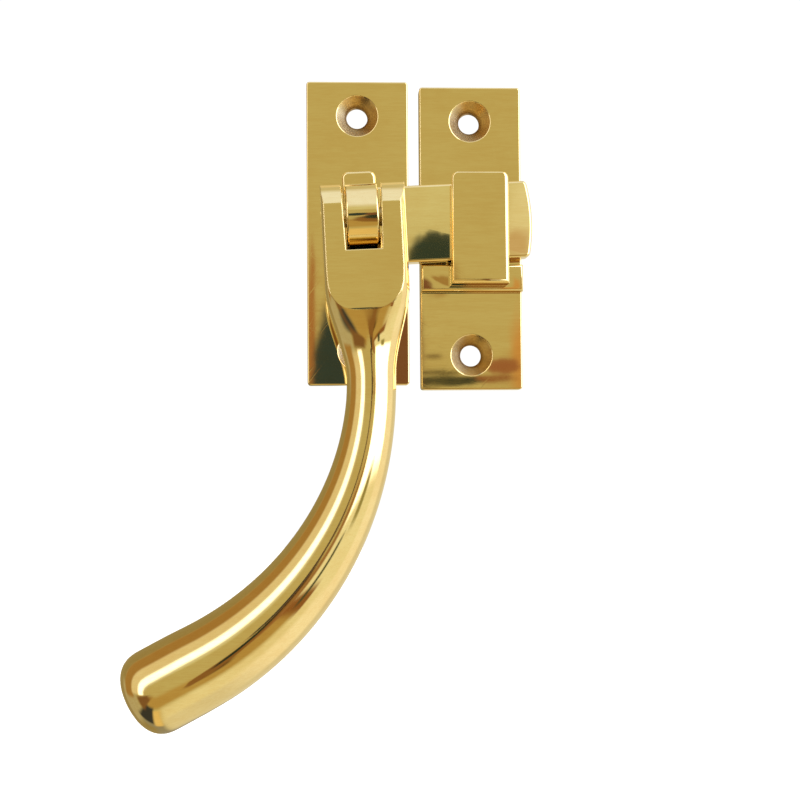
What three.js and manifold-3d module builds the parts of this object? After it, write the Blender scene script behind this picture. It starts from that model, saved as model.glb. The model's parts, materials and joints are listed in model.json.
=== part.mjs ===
// Reversible casement window fastener in cast and polished brass: a fastener plate with a turning tongue
// and a hinged bulb-end handle, and the hook keeper that the tongue drops into.
//
// Units are millimetres. X runs right along the window, Z runs up, and both plates are screwed on with
// their backs in the plane Y = 0, so the fastener stands out towards -Y. The origin is the middle of the
// lower edge of the fastener plate's back. "Height" below always means distance out from that plane.

import * as THREE from "three";
import { mergeVertices } from "three/addons/utils/BufferGeometryUtils.js";
import Module from "manifold-3d";

const wasm = await Module();
wasm.setup();

// ---- Driving dimensions ----

// Both plates are the same blank.
const PLATE_WIDTH = 20;
const PLATE_LENGTH = 60;
const PLATE_THICKNESS = 3.5;
const PLATE_CORNER = 0.6;
const PLATE_ARRIS = 0.4;
const SCREW_PITCH = 46.4;
const SCREW_HOLE_RADIUS = 2.1;
const COUNTERSINK_RADIUS = 4.1;

// Where the turning unit sits on the fastener plate, and how far it rests from square.
const SPINDLE_X = 0.45;
const SPINDLE_Z = PLATE_LENGTH / 2 + 0.7;
const REST_TURN = THREE.MathUtils.degToRad(2.6);

// The keeper plate's middle.
const KEEPER_X = 22.3;
const KEEPER_Z = PLATE_LENGTH / 2 - 1;

// Clearances: between faces that slide or rest on each other, in front of the tongue under the hook,
// around a shaft in its hole, and around the spindle's square in its holes.
const FACE_GAP = 0.3;
const HOOK_GAP = 0.5;
const SHAFT_GAP = 0.1;
const SQUARE_GAP = 0.2;

// The tongue: a flat blade whose end is an arc about the spindle.
const TONGUE_REACH = 33.5;
const TONGUE_HEIGHT = 15;
const TONGUE_THICKNESS = 4;
const TONGUE_EDGE = 0.5;
const TONGUE_TIP_CORNER = 1;

// The keeper's foot and hook, placed from the keeper plate's middle, and how deep they root in the plate.
const ROOT_DEPTH = 1;
const FOOT_BOTTOM = -10.8;
const FOOT_TOP = -5.6;
const FOOT_HEIGHT = 2.5;
const FOOT_EDGE = 0.5;
const HOOK_OFFSET = 1.2;
const HOOK_WIDTH = 11;
const HOOK_BOTTOM = -9.8;
const HOOK_TOP = 11.8;
const HOOK_WALL = 2.8;
const HOOK_EDGE = 0.6;
const HOOK_CORNER = 1.3;

// The pivot block: a seat bar on the tongue and a knuckle standing out of it.
const SEAT_WIDTH = 6.5;
const SEAT_HALF_LENGTH = 10;
const SEAT_THICKNESS = 3.3;
const SEAT_CORNER = 1.3;
const SEAT_EDGE = 0.5;
const KNUCKLE_WIDTH = 6.1;
const KNUCKLE_RADIUS = 6.3;
const KNUCKLE_EDGE = 0.4;

// The hinge between the block and the handle.
const HINGE_HEIGHT = PLATE_THICKNESS + 14.2;
const PIN_RADIUS = 1.75;
const PIN_LENGTH = 15.5;

// The handle: the fork's sizes, then the neck, the bend and the bulb. Distances run along its centre
// line from the hinge pin. The line is a little to the right of the middle of the fork's slot.
const HANDLE_OFFSET = 0.3;
const FORK_HALF_WIDTH = 7.87;
const FORK_HALF_DEPTH = 7.4;
const FORK_FLAT = 6;
const FORK_LEFT_SQUARENESS = 6;
const FORK_RIGHT_SQUARENESS = 4;
const FORK_TOP = 8;
const EAR_RADIUS = 6.3;
const SLOT_TOP_WIDTH = 7.7;
const SLOT_BOTTOM_WIDTH = 6.7;
const SLOT_BOTTOM = 6.8;
const NECK_RADIUS = 4.62;
const BULB_RADIUS = 8;
const BEND_START = 28.2;
const BEND_RADIUS = 59;
const BEND_ANGLE = THREE.MathUtils.degToRad(64.9);
const HANDLE_LENGTH = 109.9;
const BULB_CAP = 6.1;
const BULB_CAP_SQUARENESS = 2.5;
const WIDTH_SHOULDER = [13, 30];
const DEPTH_SHOULDER = [9.8, 25.8];
const ROUND_SHOULDER = [13, 24];
const BULB_SWELL = [34, 98];

// The spindle: square through tongue and block, journal in the plate, tail riveted over in the recess.
const SPINDLE_SQUARE = 4;
const SPINDLE_DEPTH = 4.5;
const JOURNAL_RADIUS = 4;
const TAIL_RADIUS = 2.5;
const RIVET_RADIUS = 3.7;
const RECESS_RADIUS = 6.6;
const RECESS_DEPTH = 2.3;
const WASHER_RADIUS = 5.8;
const SPRING_RADIUS = 6.2;
const SPRING_THICKNESS = 0.35;
const SPRING_DISH = 0.3;
const TAIL_WASHER_THICKNESS = 0.4;
const RIVET_BACK = 0.15;
const RIVET_HEAD = 0.45;
const WASHER_GAP = 0.2;

// How finely round shapes are divided, and the lengths between the handle's rings.
const ROUND_STEPS = 48;
const SMALL_ROUND_STEPS = 32;
const TONGUE_STEPS = 12;
const KNUCKLE_STEPS = 20;
const CORNER_STEPS = 4;
const EDGE_STEPS = 2;
const HANDLE_SIDES = 40;
const CAP_STEPS = 9;
const SHOULDER_FROM = 8;
const SHOULDER_STEP = 1.5;
const BEND_STEP = 3.5;

// How far a cutter reaches past the face that it cuts, and how near two corners are to be one.
const PAST = 1;
const MERGE_DISTANCE = 1e-4;

// ---- Heights that follow from the sizes above ----

const TONGUE_BACK = PLATE_THICKNESS + FACE_GAP;
const TONGUE_FRONT = TONGUE_BACK + TONGUE_THICKNESS;
const HOOK_INSIDE = TONGUE_FRONT + HOOK_GAP;
const SEAT_BACK = TONGUE_FRONT + FACE_GAP;

// ---- Finishes ----

const polishedBrass = new THREE.MeshStandardMaterial({ color: 0xc2a34f, metalness: 1, roughness: 0.18 });
const turnedBrass = new THREE.MeshStandardMaterial({ color: 0xb08f45, metalness: 1, roughness: 0.35 });
const springSteel = new THREE.MeshStandardMaterial({ color: 0x8d9094, metalness: 1, roughness: 0.3 });

// ---- Solids: three.js makes every shape, manifold-3d joins and cuts them ----

function toSolid(geometry) {
  const bare = geometry.clone();
  bare.deleteAttribute("normal");
  bare.deleteAttribute("uv");
  const merged = mergeVertices(bare, MERGE_DISTANCE);
  const index = merged.index.array;
  const triVerts = [];
  for (let i = 0; i < index.length; i += 3) {
    const [a, b, c] = index.subarray(i, i + 3);
    if (a !== b && b !== c && c !== a) triVerts.push(a, b, c);
  }
  const vertProperties = new Float32Array(merged.attributes.position.array);
  const mesh = new wasm.Mesh({ numProp: 3, vertProperties, triVerts: new Uint32Array(triVerts) });
  return new wasm.Manifold(mesh);
}

function toGeometry(solid) {
  const mesh = solid.getMesh();
  const geometry = new THREE.BufferGeometry();
  geometry.setAttribute("position", new THREE.BufferAttribute(mesh.vertProperties, 3));
  geometry.setIndex(new THREE.BufferAttribute(mesh.triVerts, 1));
  geometry.computeVertexNormals();
  return geometry;
}

function cutAway(body, cutters) {
  return cutters.reduce((rest, cutter) => rest.subtract(toSolid(cutter)), body);
}

// ---- Shape helpers ----

function roundedRectangle(halfWidth, halfHeight, corner) {
  const shape = new THREE.Shape();
  const x = halfWidth - corner;
  const y = halfHeight - corner;
  shape.absarc(x, y, corner, 0, Math.PI / 2, false);
  shape.absarc(-x, y, corner, Math.PI / 2, Math.PI, false);
  shape.absarc(-x, -y, corner, Math.PI, Math.PI * 1.5, false);
  shape.absarc(x, -y, corner, Math.PI * 1.5, Math.PI * 2, false);
  shape.closePath();
  return shape;
}

// Extrudes a shape to an exact thickness with its edges eased inwards on both faces.
function easedExtrusion(shape, thickness, edge, curveSegments = CORNER_STEPS) {
  return new THREE.ExtrudeGeometry(shape, {
    depth: thickness - 2 * edge,
    bevelEnabled: true,
    bevelThickness: edge,
    bevelSize: edge,
    bevelOffset: -edge,
    bevelSegments: EDGE_STEPS,
    curveSegments,
  }).translate(0, 0, edge);
}

// Stands a front-view extrusion (drawn in X and Z) out from the mounting plane, from one height.
function standOut(geometry, fromHeight) {
  return geometry.rotateX(Math.PI / 2).translate(0, -fromHeight, 0);
}

// Turns a side-view extrusion (drawn in height and Z) to run across the width, centred on X = 0.
function layAcross(geometry, width) {
  const sideways = new THREE.Matrix4().makeBasis(
    new THREE.Vector3(0, -1, 0),
    new THREE.Vector3(0, 0, 1),
    new THREE.Vector3(-1, 0, 0),
  );
  return geometry.translate(0, 0, -width / 2).applyMatrix4(sideways);
}

function boxBetween(low, high) {
  const size = new THREE.Vector3().subVectors(high, low);
  const middle = new THREE.Vector3().addVectors(low, high).multiplyScalar(0.5);
  return new THREE.BoxGeometry(size.x, size.y, size.z).translate(middle.x, middle.y, middle.z);
}

// A turned shape about a line along Y. The profile is a list of [radius, height].
function turned(profile, steps = ROUND_STEPS) {
  const points = profile.map(([radius, height]) => new THREE.Vector2(radius, -height));
  return new THREE.LatheGeometry(points, steps);
}

function crossBore(radius, length) {
  return new THREE.CylinderGeometry(radius, radius, length, SMALL_ROUND_STEPS).rotateZ(Math.PI / 2);
}

// ---- Plates ----

// A countersunk screw hole: a straight hole from the back opening into a 90 degree cone at the front.
function screwHole(z) {
  const coneDepth = COUNTERSINK_RADIUS - SCREW_HOLE_RADIUS;
  const hole = turned([
    [0, -PAST],
    [SCREW_HOLE_RADIUS, -PAST],
    [SCREW_HOLE_RADIUS, PLATE_THICKNESS - coneDepth],
    [COUNTERSINK_RADIUS + PAST, PLATE_THICKNESS + PAST],
    [0, PLATE_THICKNESS + PAST],
  ].reverse());
  return hole.translate(0, 0, z);
}

// The blank, centred on X = 0 and Z = 0: eased edges in front, sharp edges behind.
function plateBlank() {
  const outline = roundedRectangle(PLATE_WIDTH / 2, PLATE_LENGTH / 2, PLATE_CORNER);
  const slab = easedExtrusion(outline, PLATE_THICKNESS + PLATE_ARRIS, PLATE_ARRIS);
  const behind = boxBetween(
    new THREE.Vector3(-PLATE_WIDTH, 0, -PLATE_LENGTH),
    new THREE.Vector3(PLATE_WIDTH, 2 * PLATE_ARRIS, PLATE_LENGTH),
  );
  const screwHoles = [-1, 1].map((side) => screwHole((side * SCREW_PITCH) / 2));
  return cutAway(toSolid(standOut(slab, -PLATE_ARRIS)), [behind, ...screwHoles]);
}

// The fastener plate is bored for the spindle and recessed behind for its washers and riveted tail.
function fastenerPlate() {
  const spindleBore = turned([
    [0, PLATE_THICKNESS + PAST],
    [JOURNAL_RADIUS + SHAFT_GAP, PLATE_THICKNESS + PAST],
    [JOURNAL_RADIUS + SHAFT_GAP, RECESS_DEPTH],
    [RECESS_RADIUS, RECESS_DEPTH],
    [RECESS_RADIUS, -PAST],
    [0, -PAST],
  ]);
  spindleBore.translate(SPINDLE_X, 0, SPINDLE_Z - PLATE_LENGTH / 2);
  return toGeometry(cutAway(plateBlank(), [spindleBore]));
}

// The hook seen from the side: its root stands on the foot and its wall rises in front of the tongue.
function hookSection() {
  const section = new THREE.Shape();
  const front = HOOK_INSIDE + HOOK_WALL;
  const root = PLATE_THICKNESS - ROOT_DEPTH;
  section.moveTo(root, HOOK_BOTTOM);
  section.lineTo(front, HOOK_BOTTOM);
  section.lineTo(front, HOOK_TOP);
  section.lineTo(HOOK_INSIDE, HOOK_TOP);
  section.lineTo(HOOK_INSIDE, FOOT_TOP);
  section.lineTo(root, FOOT_TOP);
  section.closePath();
  return section;
}

// The hook's outline seen from the front, which rounds its two upper corners.
function hookOutline() {
  const outline = new THREE.Shape();
  const half = HOOK_WIDTH / 2;
  outline.moveTo(-half, HOOK_BOTTOM);
  outline.lineTo(half, HOOK_BOTTOM);
  outline.lineTo(half, HOOK_TOP - HOOK_CORNER);
  outline.absarc(half - HOOK_CORNER, HOOK_TOP - HOOK_CORNER, HOOK_CORNER, 0, Math.PI / 2, false);
  outline.absarc(-half + HOOK_CORNER, HOOK_TOP - HOOK_CORNER, HOOK_CORNER, Math.PI / 2, Math.PI, false);
  outline.closePath();
  return outline;
}

function footSection() {
  const section = new THREE.Shape();
  const front = PLATE_THICKNESS + FOOT_HEIGHT;
  section.moveTo(PLATE_THICKNESS - ROOT_DEPTH, FOOT_BOTTOM);
  section.lineTo(front - FOOT_EDGE, FOOT_BOTTOM);
  section.lineTo(front, FOOT_BOTTOM + FOOT_EDGE);
  section.lineTo(front, FOOT_TOP - FOOT_EDGE);
  section.lineTo(front - FOOT_EDGE, FOOT_TOP);
  section.lineTo(PLATE_THICKNESS - ROOT_DEPTH, FOOT_TOP);
  section.closePath();
  return section;
}

// One casting: the plate, the foot across its full width and the hook on the foot.
function hookKeeper() {
  const front = HOOK_INSIDE + HOOK_WALL;
  const straight = { depth: HOOK_WIDTH, bevelEnabled: false };
  const side = toSolid(layAcross(new THREE.ExtrudeGeometry(hookSection(), straight), HOOK_WIDTH));
  const face = easedExtrusion(hookOutline(), front, HOOK_EDGE);
  const hook = side.intersect(toSolid(standOut(face, 0))).translate([HOOK_OFFSET, 0, 0]);
  const acrossPlate = { depth: PLATE_WIDTH, bevelEnabled: false };
  const foot = toSolid(layAcross(new THREE.ExtrudeGeometry(footSection(), acrossPlate), PLATE_WIDTH));
  return toGeometry(plateBlank().add(foot).add(hook));
}

// ---- Turning unit, drawn about the spindle's centre line and square to the plate ----

// The blade: a half round about the spindle at its root, straight edges, and an arc at its tip.
function tongueOutline() {
  const outline = new THREE.Shape();
  const half = TONGUE_HEIGHT / 2;
  const tipAngle = Math.asin((half - TONGUE_TIP_CORNER) / (TONGUE_REACH - TONGUE_TIP_CORNER));
  const cornerX = (TONGUE_REACH - TONGUE_TIP_CORNER) * Math.cos(tipAngle);
  const cornerZ = half - TONGUE_TIP_CORNER;
  outline.absarc(0, 0, half, Math.PI / 2, Math.PI * 1.5, false);
  outline.absarc(cornerX, -cornerZ, TONGUE_TIP_CORNER, -Math.PI / 2, -tipAngle, false);
  outline.absarc(0, 0, TONGUE_REACH, -tipAngle, tipAngle, false);
  outline.absarc(cornerX, cornerZ, TONGUE_TIP_CORNER, tipAngle, Math.PI / 2, false);
  outline.closePath();
  return outline;
}

function squareHole(fromHeight, toHeight) {
  const half = SPINDLE_SQUARE / 2 + SQUARE_GAP;
  return boxBetween(new THREE.Vector3(-half, -toHeight, -half), new THREE.Vector3(half, -fromHeight, half));
}

function tongue() {
  const blade = easedExtrusion(tongueOutline(), TONGUE_THICKNESS, TONGUE_EDGE, TONGUE_STEPS);
  const body = toSolid(standOut(blade, TONGUE_BACK));
  return toGeometry(cutAway(body, [squareHole(TONGUE_BACK - PAST, TONGUE_FRONT + PAST)]));
}

// The knuckle seen from the side: a round about the hinge pin on a web as wide as itself.
function knuckleSection() {
  const section = new THREE.Shape();
  section.moveTo(SEAT_BACK + SEAT_EDGE, -KNUCKLE_RADIUS);
  section.lineTo(HINGE_HEIGHT, -KNUCKLE_RADIUS);
  section.absarc(HINGE_HEIGHT, 0, KNUCKLE_RADIUS, -Math.PI / 2, Math.PI / 2, false);
  section.lineTo(SEAT_BACK + SEAT_EDGE, KNUCKLE_RADIUS);
  section.closePath();
  return section;
}

function pivotBlock() {
  const seatOutline = roundedRectangle(SEAT_WIDTH / 2, SEAT_HALF_LENGTH, SEAT_CORNER);
  const seat = toSolid(standOut(easedExtrusion(seatOutline, SEAT_THICKNESS, SEAT_EDGE), SEAT_BACK));
  const knuckleProfile = easedExtrusion(knuckleSection(), KNUCKLE_WIDTH, KNUCKLE_EDGE, KNUCKLE_STEPS);
  const knuckle = toSolid(layAcross(knuckleProfile, KNUCKLE_WIDTH));
  const pinBore = crossBore(PIN_RADIUS + SHAFT_GAP, 2 * KNUCKLE_WIDTH).translate(0, -HINGE_HEIGHT, 0);
  const socket = squareHole(SEAT_BACK - PAST, SEAT_BACK + SPINDLE_DEPTH);
  return toGeometry(cutAway(seat.add(knuckle), [pinBore, socket]));
}

// Heights of the parts stacked in the recess behind the plate, from the riveted end inwards.
const RIVET_FRONT = RIVET_BACK + RIVET_HEAD;
const TAIL_WASHER_BACK = RIVET_FRONT + WASHER_GAP;
const TAIL_WASHER_FRONT = TAIL_WASHER_BACK + TAIL_WASHER_THICKNESS;
const SPRING_BACK = TAIL_WASHER_FRONT + WASHER_GAP;

function spindle() {
  const turning = toSolid(turned([
    [0, PLATE_THICKNESS + SHAFT_GAP],
    [JOURNAL_RADIUS, PLATE_THICKNESS + SHAFT_GAP],
    [JOURNAL_RADIUS, RECESS_DEPTH - SHAFT_GAP],
    [TAIL_RADIUS, RECESS_DEPTH - SHAFT_GAP],
    [TAIL_RADIUS, RIVET_FRONT],
    [RIVET_RADIUS, RIVET_FRONT],
    [TAIL_RADIUS, RIVET_BACK],
    [0, RIVET_BACK],
  ]));
  const half = SPINDLE_SQUARE / 2;
  const square = boxBetween(
    new THREE.Vector3(-half, -(SEAT_BACK + SPINDLE_DEPTH - FACE_GAP), -half),
    new THREE.Vector3(half, -PLATE_THICKNESS, half),
  );
  return toGeometry(turning.add(toSolid(square)));
}

function tailWasher() {
  const inner = TAIL_RADIUS + WASHER_GAP;
  return turned([
    [inner, TAIL_WASHER_BACK],
    [inner, TAIL_WASHER_FRONT],
    [WASHER_RADIUS, TAIL_WASHER_FRONT],
    [WASHER_RADIUS, TAIL_WASHER_BACK],
    [inner, TAIL_WASHER_BACK],
  ], SMALL_ROUND_STEPS);
}

// A dished washer: it bears on the tail washer at its inner edge and on the recess floor at its rim.
function springWasher() {
  const inner = TAIL_RADIUS + WASHER_GAP;
  return turned([
    [inner, SPRING_BACK],
    [inner, SPRING_BACK + SPRING_THICKNESS],
    [SPRING_RADIUS, SPRING_BACK + SPRING_DISH + SPRING_THICKNESS],
    [SPRING_RADIUS, SPRING_BACK + SPRING_DISH],
    [inner, SPRING_BACK],
  ], SMALL_ROUND_STEPS);
}

// ---- Handle, drawn about the hinge pin and hanging straight down from it ----

function smoothRise(value, [start, end]) {
  return THREE.MathUtils.smoothstep(value, start, end);
}

// The round part's radius: the neck, then a swell into the bulb that is part even, part eased.
function roundRadius(along) {
  const even = THREE.MathUtils.clamp(THREE.MathUtils.inverseLerp(...BULB_SWELL, along), 0, 1);
  const swell = (even + smoothRise(along, BULB_SWELL)) / 2;
  return THREE.MathUtils.lerp(NECK_RADIUS, BULB_RADIUS, swell);
}

// Half width, half depth and squareness of the handle's section at a distance along its centre line. The
// fork's right-hand edges are rounder than its left-hand ones.
function handleSection(along, across) {
  const square = across > 0 ? FORK_RIGHT_SQUARENESS : FORK_LEFT_SQUARENESS;
  const round = roundRadius(along);
  return {
    halfWidth: THREE.MathUtils.lerp(FORK_HALF_WIDTH, round, smoothRise(along, WIDTH_SHOULDER)),
    halfDepth: THREE.MathUtils.lerp(FORK_HALF_DEPTH, round, smoothRise(along, DEPTH_SHOULDER)),
    squareness: THREE.MathUtils.lerp(square, 2, smoothRise(along, ROUND_SHOULDER)),
  };
}

// The centre line: straight down from the pin, a round bend to the left, then straight to the end.
function centreLine(along) {
  const turn = THREE.MathUtils.clamp((along - BEND_START) / BEND_RADIUS, 0, BEND_ANGLE);
  const straight = Math.min(along, BEND_START);
  const beyond = Math.max(along - BEND_START - BEND_RADIUS * BEND_ANGLE, 0);
  const x = HANDLE_OFFSET - BEND_RADIUS * (1 - Math.cos(turn)) - beyond * Math.sin(turn);
  const z = -straight - BEND_RADIUS * Math.sin(turn) - beyond * Math.cos(turn);
  return { x, z, turn };
}

// Distances along the handle at which it is divided: closer at the shoulders than along the bulb.
function handleStations() {
  const stations = [-FORK_TOP, 0];
  for (let along = SHOULDER_FROM; along < BEND_START; along += SHOULDER_STEP) stations.push(along);
  for (let along = BEND_START; along < HANDLE_LENGTH - BULB_CAP; along += BEND_STEP) stations.push(along);
  return stations;
}

// A straight blank of unit radius with a domed end, shaped to its section and bent to the centre line.
function handleBlank() {
  const profile = [new THREE.Vector2(0, -FORK_TOP)];
  for (const along of handleStations()) profile.push(new THREE.Vector2(1, along));
  const power = 2 / BULB_CAP_SQUARENESS;
  for (let i = 0; i < CAP_STEPS; i += 1) {
    const angle = (i / CAP_STEPS) * (Math.PI / 2);
    const along = HANDLE_LENGTH - BULB_CAP + BULB_CAP * Math.sin(angle) ** power;
    profile.push(new THREE.Vector2(Math.cos(angle) ** power, along));
  }
  profile.push(new THREE.Vector2(0, HANDLE_LENGTH));
  const blank = new THREE.LatheGeometry(profile, HANDLE_SIDES);
  const position = blank.attributes.position;
  for (let i = 0; i < position.count; i += 1) {
    const along = position.getY(i);
    const across = position.getX(i);
    const out = position.getZ(i);
    const { halfWidth, halfDepth, squareness } = handleSection(along, across);
    const fullness = Math.hypot(across, out);
    const reach = Math.abs(across) ** squareness + Math.abs(out) ** squareness;
    const stretch = fullness > 0 ? fullness / reach ** (1 / squareness) : 0;
    const side = across * stretch * halfWidth;
    const line = centreLine(along);
    const x = line.x + side * Math.cos(line.turn);
    const z = line.z - side * Math.sin(line.turn);
    position.setXYZ(i, x, out * stretch * halfDepth, z);
  }
  return blank;
}

// What is left outside the rounded ends of the ears.
function earRounding() {
  const reach = 2 * FORK_HALF_DEPTH;
  const above = boxBetween(new THREE.Vector3(-reach, -reach, 0), new THREE.Vector3(reach, reach, reach));
  return toSolid(above).subtract(toSolid(crossBore(EAR_RADIUS, 3 * reach)));
}

// The slot between the ears narrows a little from their tops to its bottom.
function forkSlot(depth) {
  const outline = new THREE.Shape();
  outline.moveTo(-SLOT_BOTTOM_WIDTH / 2, -SLOT_BOTTOM);
  outline.lineTo(SLOT_BOTTOM_WIDTH / 2, -SLOT_BOTTOM);
  outline.lineTo(SLOT_TOP_WIDTH / 2, FORK_TOP);
  outline.lineTo(-SLOT_TOP_WIDTH / 2, FORK_TOP);
  outline.closePath();
  return standOut(new THREE.ExtrudeGeometry(outline, { depth, bevelEnabled: false }), -depth / 2);
}

function handle() {
  const reach = 2 * FORK_HALF_DEPTH;
  const flats = [1, -1].map((side) => {
    const flat = new THREE.BoxGeometry(2 * reach, reach, 4 * SLOT_BOTTOM + FORK_TOP);
    return flat.translate(0, side * (FORK_FLAT + reach / 2), -SLOT_BOTTOM);
  });
  const pinBore = crossBore(PIN_RADIUS + SHAFT_GAP, 3 * reach);
  const body = toSolid(handleBlank()).subtract(earRounding());
  return toGeometry(cutAway(body, [...flats, forkSlot(2 * reach), pinBore]));
}

function hingePin() {
  return crossBore(PIN_RADIUS, PIN_LENGTH).translate(HANDLE_OFFSET, 0, 0);
}

// ---- Assembly ----

function named(name, geometry, material) {
  const mesh = new THREE.Mesh(geometry, material);
  mesh.name = name;
  return mesh;
}

const fastener = new THREE.Group();

const plate = named("fastener_plate", fastenerPlate(), polishedBrass);
plate.position.set(0, 0, PLATE_LENGTH / 2);
fastener.add(plate);

const keeper = named("hook_keeper", hookKeeper(), polishedBrass);
keeper.position.set(KEEPER_X, 0, KEEPER_Z);
fastener.add(keeper);

const turningUnit = new THREE.Group();
turningUnit.position.set(SPINDLE_X, 0, SPINDLE_Z);
turningUnit.rotation.y = -REST_TURN;
turningUnit.add(named("tongue", tongue(), polishedBrass));
turningUnit.add(named("pivot_block", pivotBlock(), polishedBrass));
turningUnit.add(named("spindle", spindle(), turnedBrass));
turningUnit.add(named("spring_washer", springWasher(), springSteel));
turningUnit.add(named("tail_washer", tailWasher(), turnedBrass));
fastener.add(turningUnit);

const hinge = new THREE.Group();
hinge.position.set(0, -HINGE_HEIGHT, 0);
hinge.add(named("handle", handle(), polishedBrass));
hinge.add(named("hinge_pin", hingePin(), turnedBrass));
turningUnit.add(hinge);

export default fastener;
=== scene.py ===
"""Reversible casement window fastener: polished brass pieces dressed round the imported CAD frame.

X runs right along the window, Z runs up, and both plates are screwed on with their backs in the plane
Y = 0, so the fastener stands out towards -Y. Sizes are in millimetres and are scaled to metres as the
meshes are made. "Height" is distance out from the plane of the plates' backs.
"""
import json
import logging
import math
from abc import ABC, abstractmethod
from collections.abc import Callable, Sequence
from dataclasses import dataclass
from enum import Enum
from typing import NamedTuple

import bmesh
import bpy
from mathutils import Matrix, Vector
from mathutils.bvhtree import BVHTree


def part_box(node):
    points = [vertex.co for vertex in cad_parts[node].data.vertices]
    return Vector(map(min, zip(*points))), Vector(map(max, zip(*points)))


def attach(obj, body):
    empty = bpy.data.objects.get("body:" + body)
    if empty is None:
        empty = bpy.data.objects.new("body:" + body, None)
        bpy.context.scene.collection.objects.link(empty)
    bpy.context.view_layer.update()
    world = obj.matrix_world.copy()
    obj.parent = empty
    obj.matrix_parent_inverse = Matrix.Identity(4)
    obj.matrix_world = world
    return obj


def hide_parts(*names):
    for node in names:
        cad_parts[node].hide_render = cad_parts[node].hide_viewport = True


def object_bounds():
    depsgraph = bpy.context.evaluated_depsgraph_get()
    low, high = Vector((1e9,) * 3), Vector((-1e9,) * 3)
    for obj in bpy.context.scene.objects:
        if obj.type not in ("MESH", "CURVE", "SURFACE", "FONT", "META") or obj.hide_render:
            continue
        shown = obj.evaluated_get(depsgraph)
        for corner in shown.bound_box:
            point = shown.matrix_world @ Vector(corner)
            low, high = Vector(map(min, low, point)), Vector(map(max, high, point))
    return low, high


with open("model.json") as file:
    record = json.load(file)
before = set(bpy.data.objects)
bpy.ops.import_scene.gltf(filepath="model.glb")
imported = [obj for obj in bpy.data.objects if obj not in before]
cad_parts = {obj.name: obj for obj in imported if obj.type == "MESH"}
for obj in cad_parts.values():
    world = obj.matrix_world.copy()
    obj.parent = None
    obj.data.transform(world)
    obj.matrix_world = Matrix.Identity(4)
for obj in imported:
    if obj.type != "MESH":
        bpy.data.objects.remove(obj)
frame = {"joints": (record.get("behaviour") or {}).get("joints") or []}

CAD_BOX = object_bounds()
MM = 0.001
WELD = 0.0002 * MM
FINE_WELD, COARSE_WELD = 0.0005 * MM, 0.001 * MM
SMOOTH_ANGLE = math.radians(32)

log = logging.getLogger("fastener")

Colour = tuple[float, float, float]
Point = tuple[float, float, float]
Pair = tuple[float, float]
Piece = bpy.types.Object
Material = bpy.types.Material
Socket = bpy.types.NodeSocket
Rule = Callable[[bmesh.types.BMEdge], bool]
FLOAT, VECTOR = "NodeSocketFloat", "NodeSocketVector"
X, Y, Z = range(3)


class Slot(Enum):
    """The record's material slots."""

    POLISHED = "polished_brass"
    TURNED = "turned_brass"
    SPRING = "spring_steel"


# ---- Where things are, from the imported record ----


@dataclass(frozen=True)
class Layout:
    """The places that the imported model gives, in metres, with the turn of the turning unit at rest."""

    spindle: Vector
    hinge: Vector
    turn: float
    plate_middle: Vector
    keeper_middle: Vector

    @classmethod
    def from_frame(cls) -> "Layout":
        """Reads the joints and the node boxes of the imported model.

        Returns:
            The layout that every piece is placed by.
        """
        joints = {joint["name"]: joint for joint in frame["joints"]}
        spindle = Vector(joints["spindle_turn"]["pos_m"])
        hinge = Vector(joints["handle_flip"]["pos_m"])
        pin_axis = joints["handle_flip"]["axis"]
        return cls(
            spindle=spindle,
            hinge=hinge,
            turn=math.atan2(pin_axis[2], -pin_axis[0]),
            plate_middle=cls.back_middle("fastener_plate"),
            keeper_middle=cls.back_middle("hook_keeper"),
        )

    @staticmethod
    def back_middle(node: str) -> Vector:
        """The middle of a plate's back face.

        Args:
            node: The CAD node's name.

        Returns:
            The point in metres, in the plane Y = 0.
        """
        low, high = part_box(node)
        return Vector(((low.x + high.x) / 2, 0.0, (low.z + high.z) / 2))

    def turning(self) -> Matrix:
        """The place of the turning unit, which is drawn about the spindle's centre line."""
        return Matrix.Translation(self.spindle) @ Matrix.Rotation(self.turn, 4, "Y")

    def hinged(self) -> Matrix:
        """The place of the handle, which is drawn about the hinge pin."""
        return Matrix.Translation(self.hinge) @ Matrix.Rotation(self.turn, 4, "Y")


# ---- Modelling moves ----


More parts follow.
